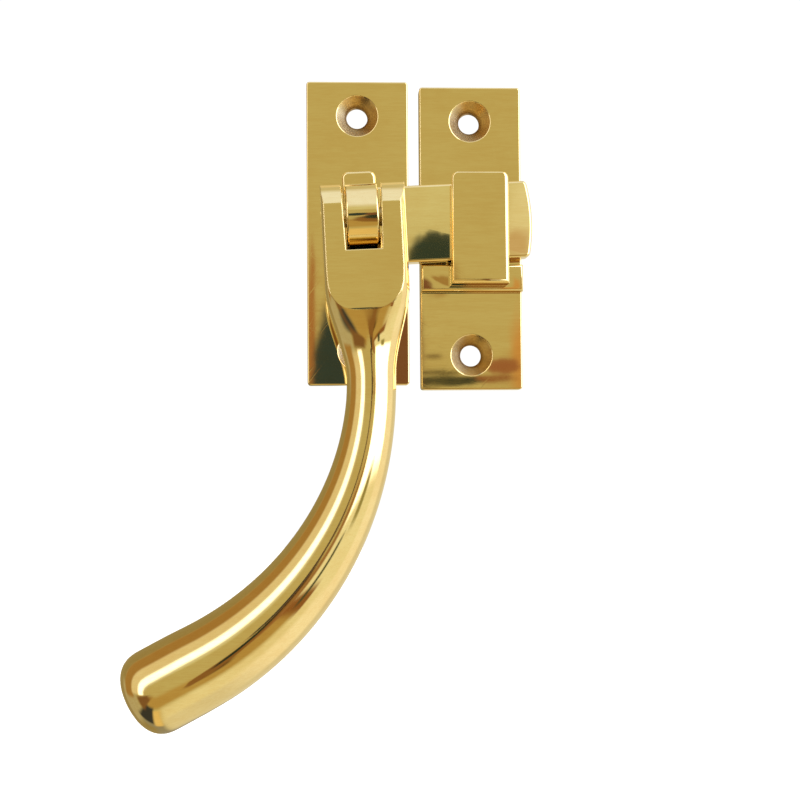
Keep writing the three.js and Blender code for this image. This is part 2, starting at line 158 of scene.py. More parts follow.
class Bench:
    """Modelling moves that every piece shares. Sizes and places are given in millimetres."""

    @staticmethod
    def clear() -> None:
        """Leaves edit mode and deselects everything."""
        if bpy.context.object is not None and bpy.context.object.mode != "OBJECT":
            bpy.ops.object.mode_set(mode="OBJECT")
        bpy.ops.object.select_all(action="DESELECT")

    @classmethod
    def take(cls, piece: Piece) -> None:
        """Makes one piece the only selected and active one.

        Args:
            piece: The piece to work on.
        """
        cls.clear()
        piece.select_set(True)
        bpy.context.view_layer.objects.active = piece

    @classmethod
    def edit(cls, piece: Piece, kind: str = "EDGE") -> bmesh.types.BMesh:
        """Opens a piece in edit mode with nothing selected.

        Args:
            piece: The piece to edit.
            kind: The select mode: VERT, EDGE or FACE.

        Returns:
            The edit mesh.
        """
        cls.take(piece)
        bpy.ops.object.mode_set(mode="EDIT")
        bpy.ops.mesh.select_mode(type=kind)
        bpy.ops.mesh.select_all(action="DESELECT")
        return bmesh.from_edit_mesh(piece.data)

    @staticmethod
    def weld(apart: float) -> None:
        """Joins the points of the mesh in edit mode that are no further apart than this, in metres."""
        bpy.ops.mesh.select_all(action="SELECT")
        bpy.ops.mesh.remove_doubles(threshold=apart)

    @staticmethod
    def close() -> None:
        """Turns the faces of the mesh in edit mode outwards and leaves edit mode."""
        bpy.ops.mesh.select_all(action="SELECT")
        bpy.ops.mesh.normals_make_consistent(inside=False)
        bpy.ops.object.mode_set(mode="OBJECT")

    @staticmethod
    def ring(name: str, points: Sequence[Point], fill: str) -> Piece:
        """Adds a ring through given points, and stays in edit mode with all of it selected.

        Args:
            name: The piece's name.
            points: The ring's points in order.
            fill: NGON for a face in the ring, or NOTHING.

        Returns:
            The new piece.
        """
        Bench.clear()
        bpy.ops.mesh.primitive_circle_add(vertices=len(points), radius=MM, fill_type=fill)
        piece = bpy.context.object
        piece.name = name
        bpy.ops.object.mode_set(mode="EDIT")
        mesh = bmesh.from_edit_mesh(piece.data)
        mesh.verts.ensure_lookup_table()
        for vertex, point in zip(mesh.verts, points):
            vertex.co = Vector(point) * MM
        bmesh.update_edit_mesh(piece.data)
        return piece

    @classmethod
    def block(cls, name: str, low: Point, high: Point) -> Piece:
        """Adds a block between two corners.

        Args:
            name: The piece's name.
            low: Its lowest corner.
            high: Its highest corner.

        Returns:
            The new piece.
        """
        cls.clear()
        corner, other = Vector(low) * MM, Vector(high) * MM
        bpy.ops.mesh.primitive_cube_add(size=1, location=(corner + other) / 2, scale=other - corner)
        piece = bpy.context.object
        piece.name = name
        bpy.ops.object.transform_apply(location=True, rotation=True, scale=True)
        return piece

    @classmethod
    def outlined(cls, name: str, outline: Sequence[Point], push: Point) -> Piece:
        """Adds a flat outline and extrudes it into a solid.

        Args:
            name: The piece's name.
            outline: The points round the flat face, in order.
            push: How far and which way the face is extruded.

        Returns:
            The new piece.
        """
        piece = cls.ring(name, outline, "NGON")
        bpy.ops.mesh.extrude_region_move(TRANSFORM_OT_translate={"value": Vector(push) * MM})
        cls.close()
        return piece

    @classmethod
    def turned(cls, name: str, profile: Sequence[Pair], steps: int = 96) -> Piece:
        """Spins a profile round the line X = 0, Z = 0 into a closed turned piece.

        Args:
            name: The piece's name.
            profile: Pairs of radius and height, in order along the profile.
            steps: How many steps the full turn has.

        Returns:
            The new piece.
        """
        piece = cls.ring(name, [(radius, -height, 0.0) for radius, height in profile], "NOTHING")
        bpy.ops.mesh.select_all(action="SELECT")
        bpy.ops.mesh.spin(steps=steps, angle=math.tau, center=(0, 0, 0), axis=(0, 1, 0))
        cls.weld(COARSE_WELD)
        cls.close()
        return piece

    @classmethod
    def ease(cls, piece: Piece, pick: Rule, width: float, segments: int) -> None:
        """Rounds the edges that a rule picks.

        Args:
            piece: The piece to round.
            pick: Says of an edge whether it is rounded.
            width: The width of the rounding on each side of the edge.
            segments: How many facets the rounding has.
        """
        mesh = cls.edit(piece)
        for edge in mesh.edges:
            edge.select_set(pick(edge))
        bmesh.update_edit_mesh(piece.data)
        bpy.ops.mesh.bevel(
            offset=width * MM, segments=segments, profile=0.5, affect="EDGES", clamp_overlap=False
        )
        bpy.ops.object.mode_set(mode="OBJECT")

    @classmethod
    def ease_by_share(
        cls,
        piece: Piece,
        share: Callable[[bmesh.types.BMEdge], float],
        width: float,
        segments: int,
    ) -> None:
        """Rounds edges to different widths that run into one another.

        Args:
            piece: The piece to round.
            share: Gives each edge's share of the width, 0 where it stays sharp.
            width: The full width.
            segments: How many facets the rounding has.
        """
        mesh = cls.edit(piece)
        shares = mesh.edges.layers.float.new("bevel_weight_edge")
        for edge in mesh.edges:
            edge[shares] = share(edge)
        bmesh.update_edit_mesh(piece.data)
        bpy.ops.object.mode_set(mode="OBJECT")
        modifier = piece.modifiers.new("Bevel", "BEVEL")
        modifier.limit_method = "WEIGHT"
        modifier.width = width * MM
        modifier.segments = segments
        bpy.ops.object.modifier_apply(modifier=modifier.name)

    @classmethod
    def join(cls, piece: Piece, other: Piece, how: str) -> None:
        """Cuts one solid with another, or unites them, and uses the other up.

        Args:
            piece: The solid that stays.
            other: The solid that is used up.
            how: DIFFERENCE, UNION or INTERSECT.
        """
        cls.take(piece)
        modifier = piece.modifiers.new("Boolean", "BOOLEAN")
        modifier.operation = how
        modifier.object = other
        modifier.solver = "EXACT"
        bpy.ops.object.modifier_apply(modifier=modifier.name)
        bpy.data.objects.remove(other)
        cls.edit(piece, "VERT")
        cls.weld(WELD)
        bpy.ops.object.mode_set(mode="OBJECT")

    @classmethod
    def place(cls, piece: Piece, where: Matrix) -> None:
        """Moves a piece's mesh to its place, and leaves its object at the origin.

        Args:
            piece: The piece to move.
            where: The matrix that carries it there.
        """
        piece.data.transform(where)
        piece.data.update()

    @classmethod
    def smooth(cls, piece: Piece) -> None:
        """Shades a piece smooth up to an angle, and keeps its flats flat.

        Args:
            piece: The piece to shade.
        """
        cls.take(piece)
        bpy.ops.object.shade_smooth_by_angle(angle=SMOOTH_ANGLE)
        modifier = piece.modifiers.new("Normals", "WEIGHTED_NORMAL")
        modifier.keep_sharp = True
        modifier.weight = 100
        bpy.ops.object.modifier_apply(modifier=modifier.name)


def at(value: float, wanted: float, slack: float = 0.01) -> bool:
    """Whether a size in metres is at a wanted size in millimetres, within a slack in millimetres."""
    return abs(value / MM - wanted) < slack


def edges_at(axis: int, *places: float) -> Rule:
    """Makes a rule that picks the edges with both ends at given places along an axis.

    Args:
        axis: X, Y or Z.
        *places: The places, in millimetres.

    Returns:
        The rule, which says of an edge whether it is picked.
    """
    return lambda edge: all(any(at(vertex.co[axis], place) for place in places) for vertex in edge.verts)


def runs_out(edge: bmesh.types.BMEdge) -> bool:
    """Whether an edge runs out from the plane of the plates."""
    return abs(edge.verts[0].co.y - edge.verts[1].co.y) > MM


def arc(centre: Pair, radius: float, start: float, end: float, steps: int) -> list[Pair]:
    """The points of an arc, its two ends among them.

    Args:
        centre: The centre.
        radius: The radius.
        start: The first angle in degrees.
        end: The last angle in degrees.
        steps: How many steps it has.

    Returns:
        Points in the arc's own plane.
    """
    points = []
    for step in range(steps + 1):
        angle = math.radians(start + (end - start) * step / steps)
        points.append((centre[0] + radius * math.cos(angle), centre[1] + radius * math.sin(angle)))
    return points


def smooth_rise(value: float, span: Pair) -> float:
    """How far a value is along a span, from 0 to 1, eased at both ends."""
    share = min(max((value - span[0]) / (span[1] - span[0]), 0.0), 1.0)
    return share * share * (3 - 2 * share)


def mix(first: float, second: float, share: float) -> float:
    """The number a share of the way from the first to the second."""
    return first + (second - first) * share


# ---- Finishes ----


class Board:
    """A node tree with short ways to add nodes and join them."""

    def __init__(self, tree: bpy.types.NodeTree) -> None:
        """Empties a tree and starts on it.

        Args:
            tree: The tree that the nodes are added to.
        """
        self.tree = tree
        tree.nodes.clear()

    def add(self, kind: str, **settings: object) -> bpy.types.Node:
        """Adds a node.

        Args:
            kind: The node's type, without its ShaderNode.
            **settings: Its own settings.

        Returns:
            The node.
        """
        node = self.tree.nodes.new(f"ShaderNode{kind}")
        for key, value in settings.items():
            setattr(node, key, value)
        return node

    def put(self, socket: Socket, value: object) -> None:
        """Links a socket from another socket, or sets its value."""
        if isinstance(value, bpy.types.NodeSocket):
            self.tree.links.new(value, socket)
        else:
            socket.default_value = value

    def feed(self, node: bpy.types.Node, **inputs: object) -> Socket:
        """Sets or links a node's inputs by name, with underscores for spaces.

        Args:
            node: The node.
            **inputs: A socket to link from, or a value to set.

        Returns:
            The node's first output.
        """
        for key, value in inputs.items():
            self.put(node.inputs[key.replace("_", " ")], value)
        return node.outputs[0]

    def fill(self, node: bpy.types.Node, values: Sequence[object]) -> bpy.types.Node:
        """Sets or links a node's inputs in their order, and gives the node back."""
        for socket, value in zip(node.inputs, values):
            self.put(socket, value)
        return node

    def maths(self, operation: str, *values: object) -> Socket:
        """Adds a Math node.

        Args:
            operation: The operation's name.
            *values: Its inputs in order, sockets or numbers.

        Returns:
            The node's output.
        """
        return self.fill(self.add("Math", operation=operation), values).outputs[0]

    def vector(self, operation: str, *values: object) -> Socket:
        """Adds a Vector Math node.

        Args:
            operation: The operation's name.
            *values: Its inputs in order, sockets or triples.

        Returns:
            The output that the operation gives, a vector or a number.
        """
        node = self.fill(self.add("VectorMath", operation=operation), values)
        return node.outputs["Value" if operation in ("DOT_PRODUCT", "LENGTH") else "Vector"]

    def plus(self, total: object, value: object, weight: float) -> Socket:
        """Adds a weighted value to a total."""
        return self.maths("ADD", total, self.maths("MULTIPLY", value, weight))

    def split(self, value: Socket) -> bpy.types.bpy_prop_collection:
        """The X, Y and Z outputs of a vector."""
        return self.fill(self.add("SeparateXYZ"), [value]).outputs

    def noise(self, place: Socket, scale: object, **more: object) -> Socket:
        """A noise texture at a place, with further inputs by name."""
        return self.feed(self.add("TexNoise"), Vector=place, Scale=scale, **more)

    def rings(self, radius: Socket, scale: float, detail: float, roughness: float) -> Socket:
        """Lathe rings: noise that changes with the radius alone."""
        node = self.add("TexNoise", noise_dimensions="1D")
        return self.feed(node, W=radius, Scale=scale, Detail=detail, Roughness=roughness)

    def remap(
        self, value: object, start: object, end: object, low: object = 0.0, high: object = 1.0
    ) -> Socket:
        """Maps a value's range smoothly onto another range.

        Args:
            value: The value, a socket or a number.
            start: The value that gives low.
            end: The value that gives high.
            low: The result at the start.
            high: The result at the end.

        Returns:
            The mapped value.
        """
        node = self.add("MapRange", interpolation_type="SMOOTHSTEP")
        return self.fill(node, (value, start, end, low, high)).outputs["Result"]

    def blend(self, share: object, first: object, second: object) -> Socket:
        """Mixes two colours.

        Args:
            share: From 0 for the first to 1 for the second.
            first: A colour or a socket.
            second: A colour or a socket.

        Returns:
            The mixed colour.
        """
        node = self.add("Mix", data_type="RGBA")
        self.put(node.inputs["Factor"], share)
        for name, colour in (("A", first), ("B", second)):
            socket = next(s for s in node.inputs if s.name == name and s.type == "RGBA")
            self.put(socket, (*colour, 1.0) if isinstance(colour, tuple) else colour)
        return next(s for s in node.outputs if s.type == "RGBA")

    def group(self, tree: bpy.types.NodeTree, **inputs: object) -> Socket:
        """Adds a node group, feeds its inputs by name and gives its output."""
        return self.feed(self.add("Group", node_tree=tree), **inputs)


class Effect:
    """A node group in the making, with one output."""

    def __init__(self, name: str, **inputs: str) -> None:
        """Starts the group.

        Args:
            name: The group's name.
            **inputs: The type of each input, by the input's name.
        """
        tree = bpy.data.node_groups.new(name, "ShaderNodeTree")
        for label, kind in inputs.items():
            tree.interface.new_socket(label, in_out="INPUT", socket_type=kind)
        tree.interface.new_socket("Mask", in_out="OUTPUT", socket_type=FLOAT)
        self.board = Board(tree)
        self.given = tree.nodes.new("NodeGroupInput").outputs

    def close(self, mask: Socket) -> bpy.types.NodeTree:
        """Gives a socket out of the group, and hands over the finished group."""
        tree = self.board.tree
        tree.links.new(mask, tree.nodes.new("NodeGroupOutput").inputs["Mask"])
        return tree


class Effects:
    """The surface effects that the finishes share, each a node group that is made once."""

    def __init__(self) -> None:
        """Builds every effect."""
        self.lines = self.make_lines()
        self.ripple = self.make_ripple()
        self.scratches = self.make_scratches()
        self.handling = self.make_handling()
        self.edges = self.make_edges()

    @staticmethod
    def make_lines() -> bpy.types.NodeTree:
        """Fine parallel lines that a linishing belt leaves, fading in and out along their run.

        Returns:
            A group from Place and the stretch and fineness of the lines to their value.
        """
        effect = Effect("linishing_lines", Place=VECTOR, Stretch=VECTOR, Fineness=FLOAT)
        board, given = effect.board, effect.given
        place = board.vector("MULTIPLY", given["Place"], given["Stretch"])
        fine = board.noise(place, given["Fineness"], Detail=3.0, Roughness=0.7)
        coarse_scale = board.maths("MULTIPLY", given["Fineness"], 0.23)
        coarse = board.noise(place, coarse_scale, Detail=2.0, Roughness=0.5)
        return effect.close(board.plus(board.maths("MULTIPLY", fine, 0.65), coarse, 0.35))

    @staticmethod
    def make_ripple() -> bpy.types.NodeTree:
        """The slow waviness that hand polishing leaves in a flat.

        Returns:
            A group from Place and Scale to a height.
        """
        effect = Effect("polishing_ripple", Place=VECTOR, Scale=FLOAT)
        given = effect.given
        noise = effect.board.noise(given["Place"], given["Scale"], Detail=1.0, Roughness=0.4, Distortion=0.3)
        return effect.close(noise)

    @staticmethod
    def make_scratches() -> bpy.types.NodeTree:
        """Sparse hairline scratches at two slants.

        Returns:
            A group from Place and Amount to a mask.
        """
        effect = Effect("hairline_scratches", Place=VECTOR, Amount=FLOAT)
        board, given = effect.board, effect.given
        masks = []
        for slant, scale in ((0.5, 55.0), (-0.9, 75.0)):
            turn = board.add("Mapping", vector_type="TEXTURE")
            turned = board.feed(turn, Vector=given["Place"], Rotation=(0.0, slant, 0.0))
            noise = board.noise(board.vector("MULTIPLY", turned, (1.0, 1.0, 26.0)), scale, Detail=1.5)
            masks.append(board.remap(noise, 0.66, 0.72))
        return effect.close(board.maths("MULTIPLY", board.maths("MAXIMUM", *masks), given["Amount"]))

    @staticmethod
    def make_handling() -> bpy.types.NodeTree:
        """Cloudy patches where handling has dulled and warmed the metal.

        Returns:
            A group from Place, Scale and Amount to a mask.
        """
        effect = Effect("handling_patches", Place=VECTOR, Scale=FLOAT, Amount=FLOAT)
        board, given = effect.board, effect.given
        noise = board.noise(given["Place"], given["Scale"], Detail=5.0, Roughness=0.62, Distortion=0.6)
        return effect.close(board.maths("MULTIPLY", board.remap(noise, 0.4, 0.72), given["Amount"]))

    @staticmethod
    def make_edges() -> bpy.types.NodeTree:
        """Worn edges: where the rounded normal and the face's own normal part.

        Returns:
            A group from Place and Amount to a mask.
        """
        effect = Effect("edge_wear", Place=VECTOR, Amount=FLOAT)
        board, given = effect.board, effect.given
        rounded = board.feed(board.add("Bevel", samples=4), Radius=0.35 * MM)
        agree = board.vector("DOT_PRODUCT", rounded, board.add("NewGeometry").outputs["Normal"])
        patchy = board.remap(board.noise(given["Place"], 420.0, Detail=3.0), 0.35, 0.6, 0.25, 1.0)
        worn = board.maths("MULTIPLY", board.remap(agree, 0.995, 0.9), patchy)
        return effect.close(board.maths("MULTIPLY", worn, given["Amount"]))


class Surface(NamedTuple):
    """What a finish gives at every point. Its relief stands on the rounded normal, if there is one."""

    colour: Socket
    roughness: Socket
    height: Socket
    rounded: Socket | None = None


@dataclass(frozen=True)
class Finish(ABC):
    """A metal finish."""

    name: str

    @abstractmethod
    def surface(self, board: Board, where: bpy.types.bpy_prop_collection, effects: Effects) -> Surface:
        """Lays out the nodes that are the finish's own.

        Args:
            board: The material's nodes.
            where: The outputs of its texture coordinates.
            effects: The shared node groups.

        Returns:
            The surface, its height in millimetres.
        """

    def build(self, effects: Effects) -> Material:
        """Makes the material.

        Args:
            effects: The shared node groups.

        Returns:
            The material.
        """
        material = bpy.data.materials.new(self.name)
        material.use_nodes = True
        board = Board(material.node_tree)
        surface = self.surface(board, board.add("TexCoord").outputs, effects)
        bump = board.add("Bump")
        relief = board.feed(bump, Strength=1.0, Distance=MM, Height=surface.height)
        if surface.rounded is not None:
            board.put(bump.inputs["Normal"], surface.rounded)
        shader = board.feed(
            board.add("BsdfPrincipled"),
            Base_Color=surface.colour, Metallic=1.0, Roughness=surface.roughness, Normal=relief,
        )
        board.put(board.add("OutputMaterial").inputs["Surface"], shader)
        return material


@dataclass(frozen=True)
class Lean:
    """How far a hand-dressed face leans back from the plates' plane, which shows only in what it mirrors.

    The degrees are positive where the face looks a little upwards. Middle is in metres, and foot is how far
    above the middle the lean starts, in millimetres.
    """

    middle: Point
    turn: float
    degrees: float
    foot: float

    def depth(self, board: Board, place: Socket) -> Socket:
        """How far back the leaning face is at a place, in millimetres."""
        level = board.feed(
            board.add("Mapping", vector_type="TEXTURE"),
            Vector=place, Location=self.middle, Rotation=(0.0, self.turn, 0.0),
        )
        rise = board.maths("SUBTRACT", board.maths("DIVIDE", board.split(level)["Z"], MM), self.foot)
        slope = math.tan(math.radians(self.degrees))
        return board.maths("MULTIPLY", board.maths("MAXIMUM", rise, 0.0), slope)


@dataclass(frozen=True)
class BrassFinish(Finish):
    """Cast brass, linished flat on its faces and buffed to a mirror on its rounds.

    The heights and the soft edge are in millimetres. The stretch and the fineness are those of the belt's
    lines, and warmed is how much of the warm colour they take.
    """

    bright: Colour = (0.88, 0.72, 0.37)
    warm: Colour = (0.78, 0.55, 0.22)
    worn: Colour = (0.94, 0.82, 0.52)
    flat_roughness: float = 0.022
    round_roughness: float = 0.05
    stretch: Point = (0.1, 1.0, 1.0)
    fineness: float = 3200.0
    warmed: float = 0.34
    grain_height: float = 0.00003
    scratch_depth: float = 0.0016
    ripple_height: float = 0.004
    ripple_scale: float = 75.0
    patches: float = 0.3
    scratches: float = 0.12
    edge_wear: float = 0.2
    soft_edge: float = 0.0
    lean: Lean | None = None

    def surface(self, board: Board, where: bpy.types.bpy_prop_collection, effects: Effects) -> Surface:
        """Lays out the brass. The arguments and the result are as in Finish."""
        place = where["Object"]
        facing = board.split(where["Normal"])["Y"]
        flatness = board.remap(board.maths("ABSOLUTE", facing), 0.985, 0.999)
        lines = board.group(effects.lines, Place=place, Stretch=self.stretch, Fineness=self.fineness)
        ripple = board.group(effects.ripple, Place=place, Scale=self.ripple_scale)
        hairlines = board.group(effects.scratches, Place=place, Amount=self.scratches)
        dulled = board.group(effects.handling, Place=place, Scale=95.0, Amount=self.patches)
        edges = board.group(effects.edges, Place=place, Amount=self.edge_wear)

        colour = board.blend(dulled, self.bright, self.warm)
        colour = board.blend(board.remap(lines, 0.36, 0.64, 0.0, self.warmed), colour, self.warm)
        colour = board.blend(edges, colour, self.worn)

        rough = board.remap(flatness, 0.0, 1.0, self.round_roughness, self.flat_roughness)
        rough = board.plus(rough, dulled, 0.03)
        rough = board.plus(rough, board.maths("SUBTRACT", lines, 0.5), 0.03)
        rough = board.plus(rough, hairlines, 0.08)

        height = board.maths("MULTIPLY", ripple, self.ripple_height)
        grain = board.maths("MULTIPLY", board.maths("MULTIPLY", lines, self.grain_height), flatness)
        height = board.plus(board.maths("ADD", height, grain), hairlines, -self.scratch_depth)
        if self.lean is not None:
            height = board.maths("SUBTRACT", height, self.lean.depth(board, place))
        if self.soft_edge == 0:
            return Surface(colour, rough, height)
        soft = board.feed(board.add("Bevel", samples=6), Radius=self.soft_edge * MM)
        return Surface(colour, rough, height, soft)


@dataclass(frozen=True)
class CountersinkFinish(Finish):
    """The screw holes' cones, left as the drill cut them: duller than the face, with fine rings, and a painted
    highlight on their lower left side.

    Middle and half pitch are in metres. Painted shade darkens the cones towards the bore, between two radii given
    in millimetres.
    """

    middle: Point
    half_pitch: float
    bright: Colour = (0.74, 0.5, 0.18)
    # The pale colour below is a painted highlight, laid on the side of the cones that the light falls on.
    painted_highlight: Colour = (1.0, 0.93, 0.64)
    # The dark colour below serves both the dull patches and the painted shade towards the bore.
    dark: Colour = (0.3, 0.16, 0.05)
    roughness: float = 0.3
    # The way below points to the lower left side of the cones, where the painted highlight goes.
    highlight_towards: Point = (-0.85, 0.0, -0.53)
    # The radii below bound the painted shade towards the bore.
    hole_shade: Pair = (2.15, 2.75)
    ring_height: float = 0.004

    def surface(self, board: Board, where: bpy.types.bpy_prop_collection, effects: Effects) -> Surface:
        """Lays out the cones. The arguments and the result are as in Finish."""
        place = where["Object"]
        across, _, along = board.split(board.vector("SUBTRACT", place, self.middle))
        up = board.maths("SUBTRACT", board.maths("ABSOLUTE", along), self.half_pitch)
        radius = board.maths("SQRT", board.maths(
            "ADD", board.maths("POWER", up, 2.0), board.maths("POWER", across, 2.0)
        ))
        rings = board.rings(radius, 5200.0, 2.0, 0.6)
        dulled = board.group(effects.handling, Place=place, Scale=300.0, Amount=0.5)
        # Painted shade: the cone darkens towards the bore, where the hole lies in shade.
        hole_shade = board.remap(radius, self.hole_shade[0] * MM, self.hole_shade[1] * MM, 0.75, 0.0)
        # Painted highlight: each cone is lightened towards its lower left side, as if lit from there; the worn
        # mask below carries this painted light, not wear.
        above = board.maths("MULTIPLY", up, board.maths("SIGN", along))
        worn = board.plus(board.maths("MULTIPLY", across, self.highlight_towards[0]), above, self.highlight_towards[2])
        worn = board.remap(board.maths("DIVIDE", worn, radius), -0.35, 0.85)
        colour = board.blend(worn, board.blend(dulled, self.bright, self.dark), self.painted_highlight)
        colour = board.blend(board.maths("MULTIPLY", rings, 0.25), colour, self.dark)
        colour = board.blend(hole_shade, colour, self.dark)
        rough = board.maths("ADD", board.maths("MULTIPLY", rings, 0.12), self.roughness - 0.06)
        rough = board.plus(rough, dulled, 0.1)
        return Surface(colour, rough, board.maths("MULTIPLY", rings, self.ring_height))


@dataclass(frozen=True)
class TurnedFinish(Finish):
    """Metal as it comes off the lathe, with faint rings about its own axis."""

    bright: Colour
    dark: Colour
    roughness: float
    ring_height: float
    centre: Point
    axis: Point

    def surface(self, board: Board, where: bpy.types.bpy_prop_collection, effects: Effects) -> Surface:
        """Lays out the rings. The arguments and the result are as in Finish."""
        place = where["Object"]
        away = board.vector("SUBTRACT", place, self.centre)
        radius = board.vector("LENGTH", board.vector("CROSS_PRODUCT", away, self.axis))
        rings = board.rings(radius, 4200.0, 3.0, 0.65)
        dulled = board.group(effects.handling, Place=place, Scale=260.0, Amount=0.5)
        edges = board.group(effects.edges, Place=place, Amount=0.4)
        colour = board.blend(dulled, self.bright, self.dark)
        colour = board.blend(board.maths("MULTIPLY", rings, 0.25), colour, self.dark)
        colour = board.blend(edges, colour, tuple(min(1.0, part * 1.15) for part in self.bright))
        rough = board.maths("ADD", board.maths("MULTIPLY", rings, 0.18), self.roughness - 0.09)
        rough = board.plus(rough, dulled, 0.15)
        return Surface(colour, rough, board.maths("MULTIPLY", rings, self.ring_height))


# ---- Pieces ----


def hand_over(piece: Piece, node: str, body: str, slot: Slot, *materials: Material) -> None:
    """Dresses a finished piece, sets it on its body and lets it stand for its CAD node.

    Args:
        piece: The finished piece.
        node: The CAD node that it stands for.
        body: The body that it rides on.
        slot: The record's slot for its finish; not used.
        *materials: Its materials, in the order of its faces' material numbers.
    """
    faces = [polygon.material_index for polygon in piece.data.polygons]
    piece.data.materials.clear()
    for material in materials:
        piece.data.materials.append(material)
    piece.data.polygons.foreach_set("material_index", [min(face, len(materials) - 1) for face in faces])
    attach(piece, body)
    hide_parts(node)
    log.info("%s: %d faces on %s", piece.name, len(piece.data.polygons), body)


@dataclass
class Plate:
    """A plate blank with rounded corners, eased front edges and two countersunk screw holes."""

    width: float = 20.0
    length: float = 60.0
    thickness: float = 3.5
    corner: float = 0.6
    arris: float = 0.27
    screw_pitch: float = 46.4
    hole_radius: float = 2.1
    countersink_radius: float = 4.1

    def blank(self, name: str) -> Piece:
        """Models the blank about the middle of its back.

        Args:
            name: The piece's name.

        Returns:
            The blank, without its screw holes.
        """
        half, reach = self.width / 2, self.length / 2
        blank = Bench.block(name, (-half, -self.thickness, -reach), (half, 0.0, reach))
        Bench.ease(blank, runs_out, self.corner, 6)
        Bench.ease(blank, edges_at(Y, -self.thickness), self.arris, 5)
        return blank

    def drill(self, blank: Piece) -> None:
        """Cuts the two countersunk holes, each with a softened rim.

        Args:
            blank: The blank to cut.
        """
        depth = self.countersink_radius - self.hole_radius
        face = self.thickness
        rim = self.countersink_radius
        profile = [
            (0.0, -1.0),
            (self.hole_radius, -1.0),
            (self.hole_radius, face - depth - 0.1),
            (self.hole_radius + 0.1, face - depth + 0.06),
            (rim - 0.1, face - 0.1),
            (rim - 0.03, face - 0.045),
            (rim + 0.03, face - 0.01),
            (rim + 0.4, face + 0.05),
            (rim + 0.4, face + 1.0),
            (0.0, face + 1.0),
        ]
        for side in (-1, 1):
            cutter = Bench.turned("screw_hole", profile)
            Bench.place(cutter, Matrix.Translation((0.0, 0.0, side * self.screw_pitch / 2 * MM)))
            Bench.join(blank, cutter, "DIFFERENCE")

    def mark_holes(self, plate: Piece) -> None:
        """Gives the screw holes' faces the second material.

        Args:
            plate: The drilled plate, still about the middle of its back.
        """
        numbers = []
        for polygon in plate.data.polygons:
            middle = polygon.center / MM
            away = math.hypot(middle.x, abs(middle.z) - self.screw_pitch / 2)
            in_hole = away < self.countersink_radius - 0.1 and abs(polygon.normal.y) < 0.95
            numbers.append(1 if in_hole else 0)
        plate.data.polygons.foreach_set("material_index", numbers)


@dataclass
class FastenerPlate(Plate):
    """The fastener's backplate, bored for the spindle and recessed behind for its washers."""

    bore_radius: float = 4.1
    recess_radius: float = 6.6
    recess_depth: float = 2.3

    def build(self, layout: Layout, material: Material, holes: Material) -> None:
        """Models and dresses the plate.

        Args:
            layout: Where things are.
            material: Its material.
            holes: The material of its screw holes.
        """
        plate = self.blank("backplate")
        self.drill(plate)
        self.mark_holes(plate)
        bore = Bench.turned("bore", [
            (0.0, self.thickness + 1),
            (self.bore_radius, self.thickness + 1),
            (self.bore_radius, self.recess_depth),
            (self.recess_radius - 0.2, self.recess_depth),
            (self.recess_radius, self.recess_depth - 0.2),
            (self.recess_radius, 0.15),
            (self.recess_radius + 0.25, -0.1),
            (self.recess_radius + 0.25, -1.0),
            (0.0, -1.0),
        ])
        Bench.place(bore, Matrix.Translation(layout.spindle - layout.plate_middle))
        Bench.join(plate, bore, "DIFFERENCE")
        Bench.place(plate, Matrix.Translation(layout.plate_middle))
        Bench.smooth(plate)
        hand_over(plate, "fastener_plate", "plates", Slot.POLISHED, material, holes)


